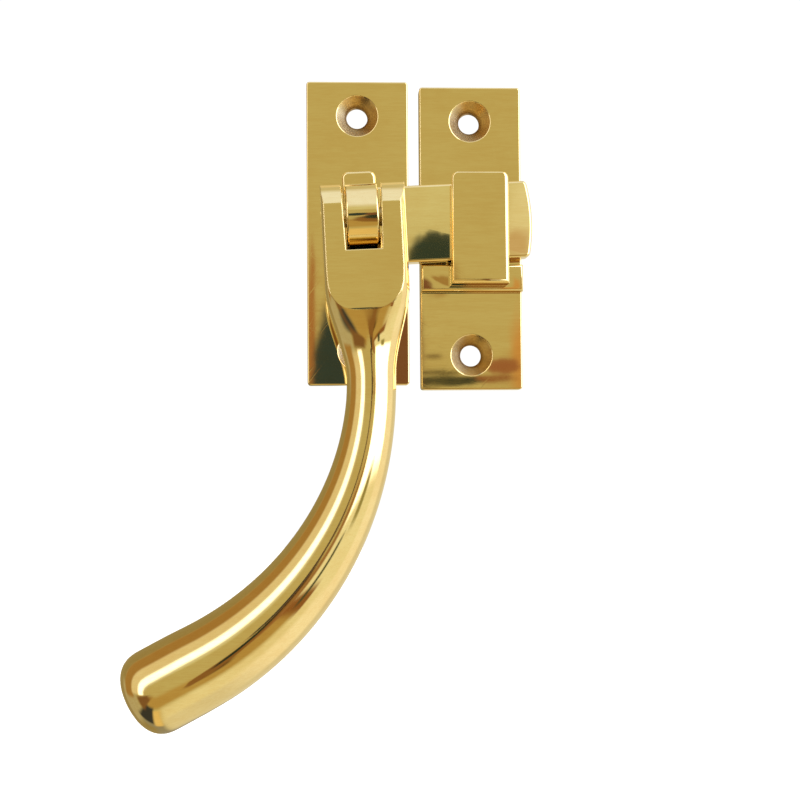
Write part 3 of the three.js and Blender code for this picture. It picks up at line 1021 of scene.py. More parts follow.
@dataclass
class HookKeeper(Plate):
    """The keeper casting: a plate, the foot across it and the hook that stands on the foot."""

    foot_bottom: float = -10.8
    foot_top: float = -5.6
    foot_front: float = 6.0
    foot_edge: float = 0.45
    hook_middle: float = 1.2
    hook_half_width: float = 5.5
    hook_bottom: float = -9.8
    hook_top: float = 11.8
    hook_inside: float = 8.3
    hook_front: float = 11.1
    hook_corner: float = 1.3
    hook_edge: float = 0.45
    buffed_edge: float = 1.1
    throat_edge: float = 0.35
    bury: float = 0.5

    def foot(self) -> Piece:
        """Models the foot, with its long front edges eased.

        Returns:
            The foot, still a solid of its own.
        """
        half = self.width / 2
        foot = Bench.block(
            "foot",
            (-half, -self.foot_front, self.foot_bottom),
            (half, self.bury - self.thickness, self.foot_top),
        )
        Bench.ease(foot, edges_at(Y, -self.foot_front), self.foot_edge, 3)
        return foot

    def hook(self) -> Piece:
        """Models the hook: a block cut away behind, with round upper corners and eased faces.

        Returns:
            The hook, still a solid of its own.
        """
        left = self.hook_middle - self.hook_half_width
        right = self.hook_middle + self.hook_half_width
        hook = Bench.block(
            "hook",
            (left, -self.hook_front, self.hook_bottom),
            (right, self.bury - self.thickness, self.hook_top),
        )
        throat = Bench.block(
            "throat",
            (left - 1, -self.hook_inside, self.foot_top),
            (right + 1, self.thickness, self.hook_top + 1),
        )
        Bench.join(hook, throat, "DIFFERENCE")

        face, top = edges_at(Y, -self.hook_front), edges_at(Z, self.hook_top)
        inside = edges_at(Y, -self.hook_inside)

        def buffing(edge: bmesh.types.BMEdge) -> float:
            """How much of the full rounding an edge of the hook's face has: most on the right and below."""
            if not face(edge):
                return 0.0
            least = self.hook_edge / self.buffed_edge
            middle = (edge.verts[0].co + edge.verts[1].co) / 2 / MM
            if middle.z < self.hook_bottom + 0.1:
                return 1.0
            if middle.x < right - self.hook_corner - 0.1:
                return least
            return mix(least, 1.0, smooth_rise(self.hook_top - middle.z, (0.0, self.hook_corner)))

        Bench.ease(hook, lambda edge: top(edge) and runs_out(edge), self.hook_corner, 6)
        Bench.ease_by_share(hook, buffing, self.buffed_edge, 6)
        above_foot = (self.foot_top + 1) * MM
        Bench.ease(hook, lambda edge: inside(edge) and edge.verts[0].co.z > above_foot, self.throat_edge, 3)
        return hook

    def build(self, layout: Layout, material: Material, holes: Material) -> None:
        """Models and dresses the keeper.

        Args:
            layout: Where things are.
            material: Its material.
            holes: The material of its screw holes.
        """
        keeper = self.blank("keeper")
        Bench.join(keeper, self.foot(), "UNION")
        Bench.join(keeper, self.hook(), "UNION")
        self.drill(keeper)
        self.mark_holes(keeper)
        Bench.place(keeper, Matrix.Translation(layout.keeper_middle))
        Bench.smooth(keeper)
        hand_over(keeper, "hook_keeper", "plates", Slot.POLISHED, material, holes)


@dataclass
class Tongue:
    """The blade that drops behind the hook."""

    back: float = 3.8
    thickness: float = 4.0
    half_height: float = 7.5
    reach: float = 33.5
    tip_corner: float = 1.0
    edge: float = 0.5
    square_half: float = 2.2

    def outline(self) -> list[Pair]:
        """The blade's outline: a half round root, straight edges and an arc at the tip.

        Returns:
            Points in X and Z about the spindle.
        """
        inner = self.reach - self.tip_corner
        rise = self.half_height - self.tip_corner
        tip = math.degrees(math.asin(rise / inner))
        corner_x = inner * math.cos(math.radians(tip))
        return [
            *arc((0.0, 0.0), self.half_height, 90, 270, 36),
            *arc((corner_x, -rise), self.tip_corner, -90, -tip, 8),
            *arc((0.0, 0.0), self.reach, -tip, tip, 24)[1:-1],
            *arc((corner_x, rise), self.tip_corner, tip, 90, 8),
        ]

    def build(self, layout: Layout, material: Material) -> None:
        """Models and dresses the tongue.

        Args:
            layout: Where things are.
            material: Its material.
        """
        outline = [(x, -self.back, z) for x, z in self.outline()]
        tongue = Bench.outlined("tongue_blade", outline, (0.0, -self.thickness, 0.0))
        front = -self.back - self.thickness
        for face in (-self.back, front):
            Bench.ease(tongue, edges_at(Y, face), self.edge, 4)
        half = self.square_half
        socket = Bench.block("socket", (-half, front - 1, -half), (half, 1 - self.back, half))
        Bench.join(tongue, socket, "DIFFERENCE")
        Bench.place(tongue, layout.turning())
        Bench.smooth(tongue)
        hand_over(tongue, "tongue", "turning_unit", Slot.POLISHED, material)


@dataclass
class PivotBlock:
    """The seat bar on the tongue and the knuckle that stands out of it."""

    seat_back: float = 8.1
    seat_thickness: float = 3.3
    seat_half_width: float = 3.25
    seat_half_length: float = 10.0
    seat_corner: float = 1.3
    seat_edge: float = 0.5
    knuckle_half_width: float = 3.05
    knuckle_radius: float = 6.3
    knuckle_edge: float = 0.4
    hinge_height: float = 17.7
    bore_radius: float = 1.85
    socket_depth: float = 4.5
    square_half: float = 2.2

    def seat(self) -> Piece:
        """Models the seat bar.

        Returns:
            The seat, still a solid of its own.
        """
        half, reach = self.seat_half_width, self.seat_half_length
        front = -self.seat_back - self.seat_thickness
        seat = Bench.block("pivot", (-half, front, -reach), (half, -self.seat_back, reach))
        Bench.ease(seat, runs_out, self.seat_corner, 6)
        Bench.ease(seat, edges_at(Y, front), self.seat_edge, 4)
        return seat

    def knuckle(self) -> Piece:
        """Models the knuckle: a round about the hinge pin on a web as wide as itself.

        Returns:
            The knuckle, still a solid of its own.
        """
        radius = self.knuckle_radius
        root = self.seat_back + self.seat_edge
        side = [(root, -radius), *arc((self.hinge_height, 0.0), radius, -90, 90, 48), (root, radius)]
        outline = [(-self.knuckle_half_width, -height, z) for height, z in side]
        knuckle = Bench.outlined("knuckle", outline, (2 * self.knuckle_half_width, 0.0, 0.0))
        for cheek in (-self.knuckle_half_width, self.knuckle_half_width):
            Bench.ease(knuckle, edges_at(X, cheek), self.knuckle_edge, 3)
        return knuckle

    def build(self, layout: Layout, material: Material) -> None:
        """Models and dresses the block.

        Args:
            layout: Where things are.
            material: Its material.
        """
        block = self.seat()
        Bench.join(block, self.knuckle(), "UNION")
        half = self.square_half
        front = -self.seat_back - self.socket_depth
        Bench.join(block, Bench.block("socket", (-half, front, -half), (half, 0.0, half)), "DIFFERENCE")
        bore = cross_rod("bore", self.bore_radius, 2 * self.knuckle_half_width + 2, -self.hinge_height)
        Bench.join(block, bore, "DIFFERENCE")
        Bench.place(block, layout.turning())
        Bench.smooth(block)
        hand_over(block, "pivot_block", "turning_unit", Slot.POLISHED, material)


def cross_rod(name: str, radius: float, length: float, y: float = 0.0) -> Piece:
    """Adds a rod that lies across the width.

    Args:
        name: The piece's name.
        radius: Its radius.
        length: Its length.
        y: Where its centre line is.

    Returns:
        The rod.
    """
    Bench.clear()
    bpy.ops.mesh.primitive_cylinder_add(
        vertices=64, radius=radius * MM, depth=length * MM, location=(0.0, y * MM, 0.0),
        rotation=(0.0, math.pi / 2, 0.0),
    )
    rod = bpy.context.object
    rod.name = name
    bpy.ops.object.transform_apply(location=True, rotation=True, scale=True)
    return rod


@dataclass
class Handle:
    """The fork, the round neck and the bulb end, in one casting. Lengths run along its centre line."""

    offset: float = 0.3
    fork_half_width: float = 7.87
    fork_half_depth: float = 7.4
    fork_flat: float = 6.0
    left_squareness: float = 6.0
    right_squareness: float = 4.0
    fork_top: float = 8.0
    ear_radius: float = 6.3
    slot_top_width: float = 7.7
    slot_bottom_width: float = 6.7
    slot_bottom: float = 6.8
    neck_radius: float = 4.62
    bulb_radius: float = 8.0
    bend_start: float = 28.2
    bend_radius: float = 59.0
    bend_angle: float = math.radians(64.9)
    length: float = 109.9
    cap: float = 6.1
    cap_squareness: float = 2.5
    width_shoulder: Pair = (13.0, 30.0)
    depth_shoulder: Pair = (9.8, 25.8)
    round_shoulder: Pair = (13.0, 24.0)
    bulb_swell: Pair = (34.0, 98.0)
    bore_radius: float = 1.85
    sides: int = 112

    def round_radius(self, along: float) -> float:
        """The round part's radius at a distance along the centre line."""
        even = min(max((along - self.bulb_swell[0]) / (self.bulb_swell[1] - self.bulb_swell[0]), 0.0), 1.0)
        return mix(self.neck_radius, self.bulb_radius, (even + smooth_rise(along, self.bulb_swell)) / 2)

    def centre(self, along: float) -> tuple[float, float, float]:
        """The centre line: X, Z and how far it has turned, at a distance along it."""
        turn = min(max((along - self.bend_start) / self.bend_radius, 0.0), self.bend_angle)
        beyond = max(along - self.bend_start - self.bend_radius * self.bend_angle, 0.0)
        x = self.offset - self.bend_radius * (1 - math.cos(turn)) - beyond * math.sin(turn)
        z = -min(along, self.bend_start) - self.bend_radius * math.sin(turn) - beyond * math.cos(turn)
        return x, z, turn

    def skin(self, along: float, angle: float, fullness: float) -> Vector:
        """A point of the handle's skin.

        Args:
            along: The distance along the centre line.
            angle: The angle round the section.
            fullness: The section's scale there, below 1 only in the domed end.

        Returns:
            The point in metres, about the hinge pin.
        """
        across, out = math.cos(angle), math.sin(angle)
        rounding = smooth_rise(along, self.round_shoulder)
        square = self.right_squareness if across > 0 else self.left_squareness
        power = mix(square, 2.0, rounding)
        stretch = (abs(across) ** power + abs(out) ** power) ** (-1 / power) * fullness
        round_radius = self.round_radius(along)
        half_width = mix(self.fork_half_width, round_radius, smooth_rise(along, self.width_shoulder))
        half_depth = mix(self.fork_half_depth, round_radius, smooth_rise(along, self.depth_shoulder))
        x, z, turn = self.centre(along)
        side = across * stretch * half_width
        return Vector((x + side * math.cos(turn), out * stretch * half_depth, z - side * math.sin(turn))) * MM

    def stations(self) -> list[Pair]:
        """Where the blank has its rings.

        Returns:
            Pairs of distance along the centre line and fullness.
        """
        rings = [(-self.fork_top, 1.0), (0.0, 1.0), (6.0, 1.0)]
        along = 9.0
        while along < self.length - self.cap:
            rings.append((along, 1.0))
            along += 0.75 if along < self.bend_start else 1.5
        steps = 20
        for step in range(steps + 1):
            angle = step / steps * math.pi / 2
            reach = math.sin(angle) ** (2 / self.cap_squareness)
            fullness = max(math.cos(angle), 0.0) ** (2 / self.cap_squareness)
            rings.append((self.length - self.cap + self.cap * reach, fullness))
        return rings

    def blank(self) -> Piece:
        """Extrudes the blank ring by ring along the centre line and closes its domed end.

        Returns:
            The blank, square at the top.
        """
        Bench.clear()
        bpy.ops.mesh.primitive_circle_add(vertices=self.sides, radius=self.neck_radius * MM, fill_type="NGON")
        blank = bpy.context.object
        blank.name = "lever"
        bpy.ops.object.mode_set(mode="EDIT")
        mesh = bmesh.from_edit_mesh(blank.data)
        angles = mesh.verts.layers.float.new("ring_angle")
        for vertex in mesh.verts:
            vertex[angles] = math.atan2(vertex.co.y, vertex.co.x)
        bmesh.update_edit_mesh(blank.data)
        rings = self.stations()
        for number, (along, fullness) in enumerate(rings):
            if number > 0:
                bpy.ops.mesh.extrude_region_move()
            mesh = bmesh.from_edit_mesh(blank.data)
            angles = mesh.verts.layers.float["ring_angle"]
            for vertex in mesh.verts:
                if vertex.select:
                    vertex.co = self.skin(along, vertex[angles], fullness)
            bmesh.update_edit_mesh(blank.data)
        bpy.ops.mesh.merge(type="CENTER")
        Bench.weld(FINE_WELD)
        Bench.close()
        return blank

    def cut(self, blank: Piece) -> None:
        """Cuts the flats, the slot between the ears, their round tops and the hole for the pin.

        Args:
            blank: The blank to cut.
        """
        reach = 3 * self.fork_half_depth
        for side in (-1, 1):
            edges = sorted((side * self.fork_flat, side * reach))
            flat = Bench.block("flat", (-reach, edges[0], -reach), (reach, edges[1], self.fork_top + 1))
            Bench.join(blank, flat, "DIFFERENCE")
        bottom, top = self.slot_bottom_width / 2, self.slot_top_width / 2
        slot = Bench.outlined("slot", [
            (-bottom, -reach, -self.slot_bottom),
            (bottom, -reach, -self.slot_bottom),
            (top, -reach, self.fork_top + 0.5),
            (-top, -reach, self.fork_top + 0.5),
        ], (0.0, 2 * reach, 0.0))
        Bench.join(blank, slot, "DIFFERENCE")
        above = Bench.block("above", (-reach, -reach, 0.0), (reach, reach, reach))
        radius = self.ear_radius
        side_view = [*arc((0.0, 0.0), radius, 0, 180, 64), (-radius, -1.0), (radius, -1.0)]
        ear = [(-reach - 1, y, z) for y, z in side_view]
        Bench.join(above, Bench.outlined("ear", ear, (2 * reach + 2, 0.0, 0.0)), "DIFFERENCE")
        Bench.join(blank, above, "DIFFERENCE")
        Bench.join(blank, cross_rod("bore", self.bore_radius, 3 * reach), "DIFFERENCE")

    def shade(self, handle: Piece, skin: bpy.types.Mesh) -> None:
        """Gives every corner the normal of the surface that it was cut from.

        Args:
            handle: The cut handle.
            skin: The blank's mesh before it was cut.
        """
        tree = BVHTree.FromPolygons([v.co for v in skin.vertices], [p.vertices[:] for p in skin.polygons])
        normals = [v.normal.copy() for v in skin.vertices]
        mesh = handle.data
        mesh.polygons.foreach_set("use_smooth", [True] * len(mesh.polygons))
        wanted: list[Vector] = [Vector()] * len(mesh.loops)
        for polygon in mesh.polygons:
            on_flat = abs(polygon.normal.y) > 0.99999
            for corner in polygon.loop_indices:
                point = mesh.vertices[mesh.loops[corner].vertex_index].co
                wanted[corner] = polygon.normal if on_flat else self.corner_normal(
                    point, polygon.normal, skin, tree, normals
                )
        mesh.normals_split_custom_set(wanted)

    def corner_normal(
        self, point: Vector, facing: Vector, skin: bpy.types.Mesh, tree: BVHTree, normals: list[Vector]
    ) -> Vector:
        """The normal at one corner of the cut handle.

        Args:
            point: The corner's place.
            facing: Its face's own normal.
            skin: The blank's mesh.
            tree: The blank's faces.
            normals: The blank's normals, one a vertex.

        Returns:
            The normal.
        """
        from_pin = Vector((0.0, point.y, point.z))
        if at(from_pin.length, self.bore_radius, 0.03):
            return -from_pin.normalized()
        outwards = from_pin.normalized()
        on_ear = point.z > -0.1 * MM and at(from_pin.length, self.ear_radius, 0.03)
        if on_ear and facing.dot(outwards) > 0.97:
            return outwards
        nearest, _, index, distance = tree.find_nearest(point)
        if nearest is None or distance > 0.01 * MM:
            return facing
        total = Vector()
        for vertex in skin.polygons[index].vertices:
            away = (skin.vertices[vertex].co - point).length
            total += normals[vertex] / max(away, 1e-7)
        normal = total.normalized()
        return normal if normal.dot(facing) > 0.9 else facing

    def build(self, layout: Layout, material: Material) -> None:
        """Models and dresses the handle.

        Args:
            layout: Where things are.
            material: Its material.
        """
        handle = self.blank()
        skin = handle.data.copy()
        self.cut(handle)
        self.shade(handle, skin)
        bpy.data.meshes.remove(skin)
        Bench.place(handle, layout.hinged())
        hand_over(handle, "handle", "handle", Slot.POLISHED, material)


@dataclass
class HingePin:
    """The cross pin through the ears and the knuckle, its ends riveted over and dressed flush."""

    radius: float = 1.75
    length: float = 15.5
    middle: float = 0.3
    edge: float = 0.3

    def build(self, layout: Layout, material: Material) -> None:
        """Models and dresses the pin.

        Args:
            layout: Where things are.
            material: Its material.
        """
        pin = cross_rod("cross_pin", self.radius, self.length)
        half = self.length / 2
        Bench.ease(pin, edges_at(X, -half, half), self.edge, 4)
        Bench.place(pin, Matrix.Translation((self.middle * MM, 0.0, 0.0)))
        Bench.place(pin, layout.hinged())
        Bench.smooth(pin)
        hand_over(pin, "hinge_pin", "handle", Slot.TURNED, material)


@dataclass
class Spindle:
    """The turned stud with its square and riveted tail, and the two washers behind the plate."""

    square_half: float = 2.0
    square_top: float = 12.3
    square_chamfer: float = 0.4
    journal_radius: float = 4.0
    journal_front: float = 3.6
    journal_back: float = 2.2
    tail_radius: float = 2.5
    rivet_radius: float = 3.7
    rivet_back: float = 0.15
    rivet_front: float = 0.6
    washer_inner: float = 2.7
    washer_radius: float = 5.8
    washer_back: float = 0.8
    washer_front: float = 1.2
    spring_radius: float = 6.2
    spring_back: float = 1.4
    spring_thickness: float = 0.35
    spring_dish: float = 0.3

    def stud(self) -> Piece:
        """Models the stud.

        Returns:
            The stud about its own centre line.
        """
        stud = Bench.turned("stud", [
            (0.0, self.journal_front + 1.2),
            (self.square_half - 0.1, self.journal_front + 1.2),
            (self.square_half - 0.1, self.journal_front),
            (self.journal_radius - 0.15, self.journal_front),
            (self.journal_radius, self.journal_front - 0.15),
            (self.journal_radius, self.journal_back),
            (self.tail_radius, self.journal_back),
            (self.tail_radius, self.rivet_front),
            (self.rivet_radius - 0.1, self.rivet_front),
            (self.rivet_radius, self.rivet_front - 0.1),
            (self.rivet_radius - 0.35, self.rivet_back + 0.12),
            (self.tail_radius - 0.2, self.rivet_back),
            (0.6, self.rivet_back + 0.06),
            (0.0, self.rivet_back + 0.1),
        ])
        half = self.square_half
        square = Bench.block(
            "square", (-half, -self.square_top, -half), (half, -self.journal_front + 0.1, half)
        )
        Bench.ease(square, edges_at(Y, -self.square_top), self.square_chamfer, 1)
        Bench.join(stud, square, "UNION")
        return stud

    def build(self, layout: Layout, brass: Material, steel: Material) -> None:
        """Models and dresses the stud and its washers.

        Args:
            layout: Where things are.
            brass: The turned brass.
            steel: The spring steel.
        """
        inner = self.washer_inner
        washer = Bench.turned("flat_washer", [
            (inner + 0.08, self.washer_back),
            (inner, self.washer_back + 0.08),
            (inner, self.washer_front - 0.08),
            (inner + 0.08, self.washer_front),
            (self.washer_radius - 0.12, self.washer_front),
            (self.washer_radius, self.washer_front - 0.12),
            (self.washer_radius, self.washer_back + 0.12),
            (self.washer_radius - 0.12, self.washer_back),
        ])
        rise = self.spring_dish
        thick = self.spring_thickness
        back = self.spring_back
        middle = (inner + self.spring_radius) / 2
        spring = Bench.turned("dished_washer", [
            (inner, back),
            (inner, back + thick),
            (middle, back + rise * 0.4 + thick),
            (self.spring_radius, back + rise + thick),
            (self.spring_radius, back + rise),
            (middle, back + rise * 0.4),
        ])
        for piece, node, slot, material in (
            (self.stud(), "spindle", Slot.TURNED, brass),
            (washer, "tail_washer", Slot.TURNED, brass),
            (spring, "spring_washer", Slot.SPRING, steel),
        ):
            Bench.place(piece, layout.turning())
            Bench.smooth(piece)
            hand_over(piece, node, "turning_unit", slot, material)


# ---- The studio ----


@dataclass(frozen=True)
class Viewpoint:
    """The camera: its place and aim in millimetres, its roll in degrees and its lens."""

    place: Point = (-6.0, -286.5, -13.6)
    aim: Point = (8.086, -3.5, -2.977)
    roll: float = -0.39
    lens: float = 65.01

    def build(self) -> None:
        """Makes the camera and sets the scene to use it."""
        data = bpy.data.cameras.new("camera")
        data.lens = self.lens
        data.clip_start, data.clip_end = 0.01, 10.0
        camera = bpy.data.objects.new("camera", data)
        bpy.context.scene.collection.objects.link(camera)
        away = (Vector(self.aim) - Vector(self.place)).normalized()
        right = away.cross(Vector((0, 0, 1))).normalized()
        up = right.cross(away)
        turn = math.radians(self.roll)
        level = right * math.cos(turn) + up * math.sin(turn)
        upright = up * math.cos(turn) - right * math.sin(turn)
        frame_of_view = Matrix((level, upright, -away)).transposed().to_4x4()
        camera.matrix_world = Matrix.Translation(Vector(self.place) * MM) @ frame_of_view
        bpy.context.scene.camera = camera


@dataclass(frozen=True)
class Panel:
    """A soft panel of the studio, seen in the polished metal.

    Towards is the way from the line of sight: 0 right, 90 up, 180 left, 270 down. Near and far are how
    far it lies from straight in front of the fastener. All are in degrees.
    """

    towards: float
    spread: float
    near: float
    far: float
    colour: Colour
    blur: float


@dataclass(frozen=True)
class Figure:
    """A dark or coloured thing in front of the fastener, seen small in its flats. Angles are in degrees."""

    right: float
    up: float
    half_width: float
    half_height: float
    colour: Colour
    blur: float


@dataclass
class Studio:
    """The floor, the soft light and the panels round the fastener."""

    front: Colour = (0.59, 0.515, 0.25)
    upper: Colour = (0.72, 0.69, 0.42)
    upper_from: Pair = (0.262, 0.35)
    raggedness: float = 0.8
    figure_edge: float = 1.4
    white: float = 1.05
    floor_drop: float = 25.0
    floor_radius: float = 900.0
    panels: tuple[Panel, ...] = (
        Panel(90, 75, 32, 112, (0.98, 1.03, 1.12), 9),
        Panel(90, 60, 100, 180, (0.68, 0.63, 0.4), 12),
        Panel(90, 60, 158, 180, (0.35, 0.3, 0.2), 8),
        Panel(270, 62, 14, 40, (0.52, 0.36, 0.12), 5),
        Panel(270, 90, 90, 180, (0.34, 0.32, 0.25), 10),
        Panel(180, 80, 108, 180, (0.36, 0.29, 0.13), 8),
        Panel(205, 28, 62, 125, (0.52, 0.47, 0.31), 8),
        Panel(155, 42, 74, 112, (0.42, 0.25, 0.08), 5),
        Panel(150, 38, 52, 78, (0.84, 0.74, 0.5), 5),
        Panel(315, 34, 42, 180, (0.9, 0.84, 0.58), 8),
        Panel(243, 19, 38, 94, (0.05, 0.052, 0.055), 6),
        Panel(270, 9, 46, 100, (0.88, 0.66, 0.28), 5),
        Panel(212, 20, 18, 60, (0.24, 0.125, 0.05), 7),
        Panel(288, 9, 8, 25, (0.14, 0.07, 0.025), 3),
        Panel(148, 40, 33, 50, (2.4, 2.4, 2.64), 4),
        Panel(0, 75, 76, 180, (0.8, 0.75, 0.58), 8),
        Panel(0, 60, 66, 116, (1.08, 1.02, 0.85), 9),
        Panel(25, 37, 19, 78, (3.2, 3.2, 3.52), 3),
        Panel(337, 13, 15, 80, (0.96, 0.93, 0.68), 5),
        Panel(347, 6, 38, 50, (0.36, 0.33, 0.13), 3),
        Panel(322, 4.5, 2, 46, (0.3, 0.13, 0.04), 2.5),
        Panel(338, 34, 9, 16, (0.36, 0.18, 0.07), 2.5),
        Panel(335, 26, 8, 9, (0.36, 0.14, 0.05), 0.8),
        Panel(331, 10, 27, 33, (0.08, 0.09, 0.05), 2),
    )
    figures: tuple[Figure, ...] = (
        Figure(5.0, -12.0, 3.6, 13.0, (0.28, 0.14, 0.045), 0.12),
        Figure(4.0, -6.0, 1.7, 8.2, (0.03, 0.045, 0.035), 0.15),
        Figure(7.8, 3.6, 0.5, 1.8, (0.66, 0.36, 0.12), 0.5),
        Figure(6.95, 3.45, 0.7, 0.32, (0.36, 0.15, 0.07), 0.12),
        Figure(4.15, 3.87, 0.35, 0.07, (0.1, 0.05, 0.02), 0.3),
        Figure(6.0, 2.95, 1.5, 0.14, (0.3, 0.12, 0.05), 0.12),
        Figure(4.7, 2.88, 1.4, 0.2, (0.05, 0.055, 0.035), 0.1),
        Figure(4.4, 3.22, 0.9, 0.08, (0.09, 0.07, 0.03), 0.2),
        Figure(-0.65, 2.6, 0.16, 5.8, (0.42, 0.18, 0.06), 0.2),
        Figure(1.1, 2.2, 1.7, 4.7, (0.36, 0.23, 0.09), 0.2),
        Figure(2.9, 2.0, 0.9, 4.2, (0.22, 0.1, 0.05), 0.2),
        Figure(0.8, 2.2, 1.5, 4.2, (0.04, 0.06, 0.06), 0.1),
        Figure(4.3, 6.9, 0.65, 0.6, (0.4, 0.25, 0.09), 0.3),
        Figure(8.2, 19.2, 1.6, 2.4, (0.84, 0.81, 0.58), 0.4),
        Figure(7.0, 18.1, 0.6, 0.6, (0.66, 0.5, 0.3), 0.5),
        Figure(3.75, 17.3, 1.1, 1.3, (0.04, 0.06, 0.05), 0.14),
    )

    @staticmethod
    def panel_group() -> bpy.types.NodeTree:
        """The mask of one panel.

        Returns:
            A group from Direction, Towards, Spread, Near, Far and Blur, with angles in radians, to a mask.
        """
        effect = Effect(
            "studio_panel", Direction=VECTOR, Towards=VECTOR, Spread=FLOAT, Near=FLOAT, Far=FLOAT, Blur=FLOAT
        )
        board, given = effect.board, effect.given
        direction, blur = given["Direction"], given["Blur"]

        def fade(value: Socket, limit: Socket, before: float, after: float) -> Socket:
            """A soft step at a limit."""
            low, high = board.maths("SUBTRACT", limit, blur), board.maths("ADD", limit, blur)
            return board.remap(value, low, high, before, after)

        off_axis = board.maths("ARCCOSINE", board.maths("MULTIPLY", board.split(direction)["Y"], -1.0))
        upright = board.vector("NORMALIZE", board.vector("MULTIPLY", direction, (1.0, 0.0, 1.0)))
        aside = board.maths("ARCCOSINE", board.vector("DOT_PRODUCT", upright, given["Towards"]))
        past_near, within_far = fade(off_axis, given["Near"], 0.0, 1.0), fade(off_axis, given["Far"], 1.0, 0.0)
        within_spread = fade(aside, given["Spread"], 1.0, 0.0)
        return effect.close(board.maths("MULTIPLY", board.maths("MULTIPLY", past_near, within_far), within_spread))

    def figure_group(self) -> bpy.types.NodeTree:
        """The mask of one figure: a round shape with a ragged edge.

        Returns:
            A group from Direction, Centre, Reach and Blur to a mask.
        """
        effect = Effect("studio_figure", Direction=VECTOR, Centre=VECTOR, Reach=VECTOR, Blur=FLOAT)
        board, given = effect.board, effect.given
        away = board.vector("SUBTRACT", given["Direction"], given["Centre"])
        scaled = board.vector("DIVIDE", away, given["Reach"])
        ragged = board.noise(scaled, 2.0, Detail=4.0)
        reach = board.plus(board.vector("LENGTH", scaled), ragged, self.raggedness)
        low = board.maths("SUBTRACT", self.figure_edge, given["Blur"])
        high = board.maths("ADD", self.figure_edge, given["Blur"])
        return effect.close(board.remap(reach, low, high, 1.0, 0.0))

    def light(self) -> None:
        """Builds the surroundings that light the fastener, with plain white for what the camera sees."""
        world = bpy.data.worlds.new("studio")
        bpy.context.scene.world = world
        world.use_nodes = True
        board = Board(world.node_tree)
        direction = board.add("TexCoord").outputs["Generated"]
        raised = board.remap(board.split(direction)["Z"], *self.upper_from)
        colour = board.blend(raised, self.front, self.upper)
        panel_tree, figure_tree = self.panel_group(), self.figure_group()
        for panel in self.panels:
            angle = math.radians(panel.towards)
            mask = board.group(
                panel_tree,
                Direction=direction,
                Towards=(math.cos(angle), 0.0, math.sin(angle)),
                Spread=math.radians(panel.spread),
                Near=math.radians(panel.near),
                Far=math.radians(panel.far),
                Blur=math.radians(panel.blur),
            )
            colour = board.blend(mask, colour, panel.colour)
        for figure in self.figures:
            right, up = math.radians(figure.right), math.radians(figure.up)
            mask = board.group(
                figure_tree,
                Direction=direction,
                Centre=(math.sin(right), -math.cos(right) * math.cos(up), math.sin(up)),
                Reach=(math.radians(figure.half_width), 1.0, math.radians(figure.half_height)),
                Blur=figure.blur,
            )
            colour = board.blend(mask, colour, figure.colour)
        seen = board.add("LightPath").outputs["Is Camera Ray"]
        colour = board.blend(seen, colour, (self.white, self.white, self.white))
        shine = board.feed(board.add("Background"), Color=colour, Strength=1.0)
        board.put(board.add("OutputWorld").inputs["Surface"], shine)

    def floor(self) -> None:
        """Lays the pale floor under the fastener, where the metal doesn't mirror it."""
        low, _ = CAD_BOX
        Bench.clear()
        bpy.ops.mesh.primitive_circle_add(
            vertices=128, radius=self.floor_radius * MM, fill_type="NGON",
            location=(0.0, 0.0, low.z - self.floor_drop * MM),
        )
        floor = bpy.context.object
        floor.name = "floor"
        material = bpy.data.materials.new("pale_floor")
        material.use_nodes = True
        shader = material.node_tree.nodes["Principled BSDF"]
        shader.inputs["Base Color"].default_value = (0.86, 0.86, 0.85, 1.0)
        shader.inputs["Roughness"].default_value = 0.9
        shader.inputs["Emission Color"].default_value = (1.0, 1.0, 1.0, 1.0)
        shader.inputs["Emission Strength"].default_value = 0.5
        floor.data.materials.append(material)
        floor.visible_glossy = False

    def build(self) -> None:
        """Makes the studio."""
        self.light()
        self.floor()
        bpy.context.scene.view_settings.view_transform = "Standard"


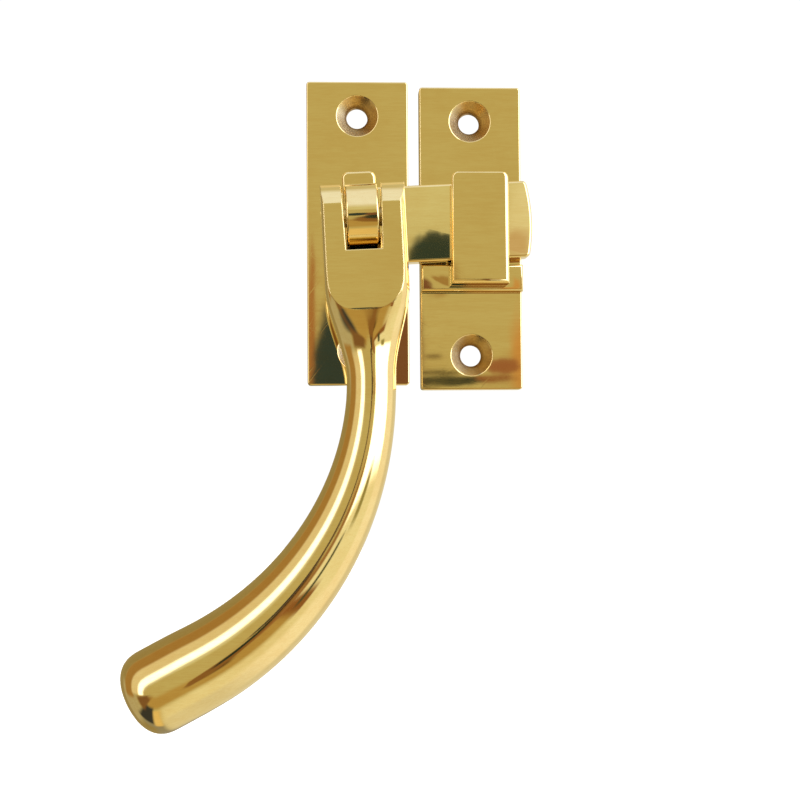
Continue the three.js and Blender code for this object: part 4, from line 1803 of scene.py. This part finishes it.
def main() -> None:
    """Builds the whole fastener, its camera and its studio."""
    logging.basicConfig(level=logging.INFO, format="%(name)s: %(message)s")
    Viewpoint().build()
    Studio().build()
    layout = Layout.from_frame()
    effects = Effects()
    plate_brass = BrassFinish("linished_brass").build(effects)
    keeper_brass = BrassFinish("keeper_brass", soft_edge=0.12).build(effects)
    blade = Tongue()
    blade_lean = Lean(tuple(layout.spindle), layout.turn, 5.0, -blade.half_height)
    tongue_brass = BrassFinish("tongue_brass", scratches=0.0, lean=blade_lean).build(effects)
    block_brass = BrassFinish("block_brass", soft_edge=0.2).build(effects)
    flat_lean = Lean(tuple(layout.hinge), layout.turn, 1.6, -17.5)
    handle_brass = BrassFinish(
        "buffed_brass", soft_edge=0.3, ripple_height=0.01, ripple_scale=60.0, lean=flat_lean
    ).build(effects)
    axis = Vector((-math.cos(layout.turn), 0.0, math.sin(layout.turn)))
    pin_brass = TurnedFinish(
        "pin_brass", (0.8, 0.6, 0.24), (0.5, 0.32, 0.11), 0.3, 0.003, tuple(layout.hinge), tuple(axis)
    ).build(effects)
    spindle_line = (tuple(layout.spindle), (0.0, 1.0, 0.0))
    stud_brass = TurnedFinish(
        "turned_stud_brass", (0.78, 0.58, 0.24), (0.45, 0.29, 0.1), 0.32, 0.004, *spindle_line
    ).build(effects)
    steel = TurnedFinish(
        "washer_steel", (0.56, 0.57, 0.59), (0.3, 0.29, 0.28), 0.28, 0.003, *spindle_line
    ).build(effects)
    backplate, keeper = FastenerPlate(), HookKeeper()
    half_pitch = backplate.screw_pitch / 2 * MM
    plate_holes, keeper_holes = (
        CountersinkFinish(name, tuple(middle), half_pitch).build(effects)
        for name, middle in (
            ("plate_countersinks", layout.plate_middle), ("keeper_countersinks", layout.keeper_middle)
        )
    )
    backplate.build(layout, plate_brass, plate_holes)
    keeper.build(layout, keeper_brass, keeper_holes)
    blade.build(layout, tongue_brass)
    PivotBlock().build(layout, block_brass)
    Handle().build(layout, handle_brass)
    HingePin().build(layout, pin_brass)
    Spindle().build(layout, stud_brass, steel)


if __name__ == "__main__":
    main()
